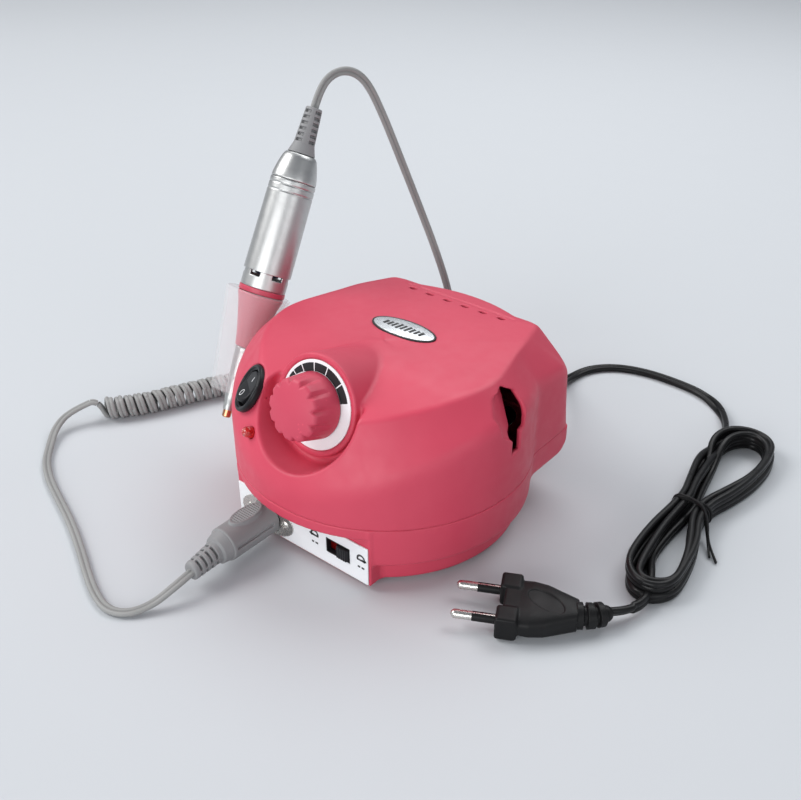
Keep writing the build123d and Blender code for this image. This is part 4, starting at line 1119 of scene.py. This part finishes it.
sculpt("mains_pins", (-11.2, -2.1, -19.1), (11.2, 2.1, 0), 0.25, euro_pins, "chrome", CASE,
       ("mains_plug_pins",), EURO)


def pin_sleeves(u, v, w):
    a = np.abs(u) - PIN_OFFSET
    return cut(drum(a, v, w, 2.12, -10, 0.4, 0.15), drum(a, v, w, 1.95, -12, 1))


sculpt("mains_pin_sleeves", (-11.3, -2.2, -10), (11.3, 2.2, 0.4), 0.18, pin_sleeves, "black_rubber",
       CASE, (), EURO)

relief_line = route([(121.0, -21.6, 6.9), (124.5, -19.3, 6.9), (127.7, -16.3, 6.8), (130.3, -12.3, 6.5)])
RELIEF_GAPS = stations_of(relief_line)


def mains_relief(x, y, z):
    """Ribbed sleeve that bends with the lead."""
    nearest = np.full(np.shape(x), 1e9)
    station = np.zeros(np.shape(x))
    for i in range(len(relief_line) - 1):
        a, b = relief_line[i], relief_line[i + 1]
        e = b - a
        t = np.clip(((x - a[0]) * e[0] + (y - a[1]) * e[1] + (z - a[2]) * e[2]) / e.dot(e), 0, 1)
        gap = np.sqrt((x - a[0] - t * e[0]) ** 2 + (y - a[1] - t * e[1]) ** 2 + (z - a[2] - t * e[2]) ** 2)
        station = np.where(gap < nearest, RELIEF_GAPS[i] + t * np.linalg.norm(e), station)
        nearest = np.minimum(nearest, gap)
    reach = 5.9 - 0.05 * station - 1.5 * np.clip((np.abs((station / 4.4) % 1 - 0.5) - 0.3) * 12, 0, 1)
    return (nearest - reach) * 0.8


sculpt("mains_plug_strain_relief", (114, -28, 0.6), (139, -1, 13), 0.3, mains_relief, "black_rubber",
       CASE, ("mains_plug_relief",))

# ---- pieces carried over from the model
KEPT = {
    "potentiometer": "steel", "shaft_nut": "steel", "knob_shaft": "steel", "circuit_board": "board",
    "capacitors": "capacitor", "heat_sink": "silver", "fuse_holder": "capacitor", "transformer_core": "iron",
    "transformer_windings": "copper", "case_screws": "chrome", "motor_can": "steel", "magnets": "iron",
    "bearings": "steel", "spindle_shaft": "steel", "coupling": "capacitor", "motor_shaft": "steel",
    "armature": "copper", "plug_pins": "chrome",
}
for node, finish in KEPT.items():
    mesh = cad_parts[node].data
    mesh.materials.clear()
    mesh.materials.append(FINISHES[finish])

# ---- the leads as cords
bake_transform(upper_lead)
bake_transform(lower_lead)
print("lead lengths", round(length_of(grey_path)), round(length_of(lower_path)), round(length_of(mains_path)))

# ---- table and light
floor_mesh = bpy.data.meshes.new("floor")
floor_mesh.from_pydata([(-4, -4, 0), (4, -4, 0), (4, 4, 0), (-4, 4, 0)], [], [(0, 1, 2, 3)])
floor = bpy.data.objects.new("floor", floor_mesh)
bpy.context.scene.collection.objects.link(floor)
paper = Finish("paper backdrop")
shade = paper.spread(paper.noise(1.2, 1.0), 0.0, 1.0)
floor_mesh.materials.append(paper.done(paper.mix(shade, (0.55, 0.57, 0.595), (0.535, 0.555, 0.58)),
                                       paper.spread(paper.noise(30.0), 0.78, 0.86)))


def softbox(name, place, aim, size, power, colour):
    lamp_data = bpy.data.lights.new(name, "AREA")
    lamp_data.shape = "RECTANGLE"
    lamp_data.size, lamp_data.size_y = size
    lamp_data.energy = power
    lamp_data.color = colour
    made = bpy.data.objects.new(name, lamp_data)
    made.location = place
    made.rotation_euler = (Vector(aim) - Vector(place)).to_track_quat("-Z", "Y").to_euler()
    bpy.context.scene.collection.objects.link(made)


softbox("key softbox", (-1.75, -0.9, 1.8), (0, 0, 0.05), (1.5, 1.5), 47.0, (1.0, 0.995, 0.985))
softbox("front fill", (0.25, -1.45, 0.5), (0, 0, 0.05), (1.3, 0.7), 13.0, (0.99, 0.995, 1.0))
softbox("rear top", (-0.1, 0.95, 1.3), (0, 0.1, 0.05), (1.8, 0.8), 17.0, (0.98, 0.99, 1.0))
softbox("right fill", (1.4, -0.5, 0.5), (0, 0, 0.05), (0.9, 0.6), 3.5, (0.98, 0.99, 1.0))
bpy.context.scene.view_settings.view_transform = "Standard"
world = bpy.data.worlds.new("studio")
world.use_nodes = True
world.node_tree.nodes["Background"].inputs["Color"].default_value = (0.84, 0.89, 0.97, 1.0)
world.node_tree.nodes["Background"].inputs["Strength"].default_value = 0.28
bpy.context.scene.world = world
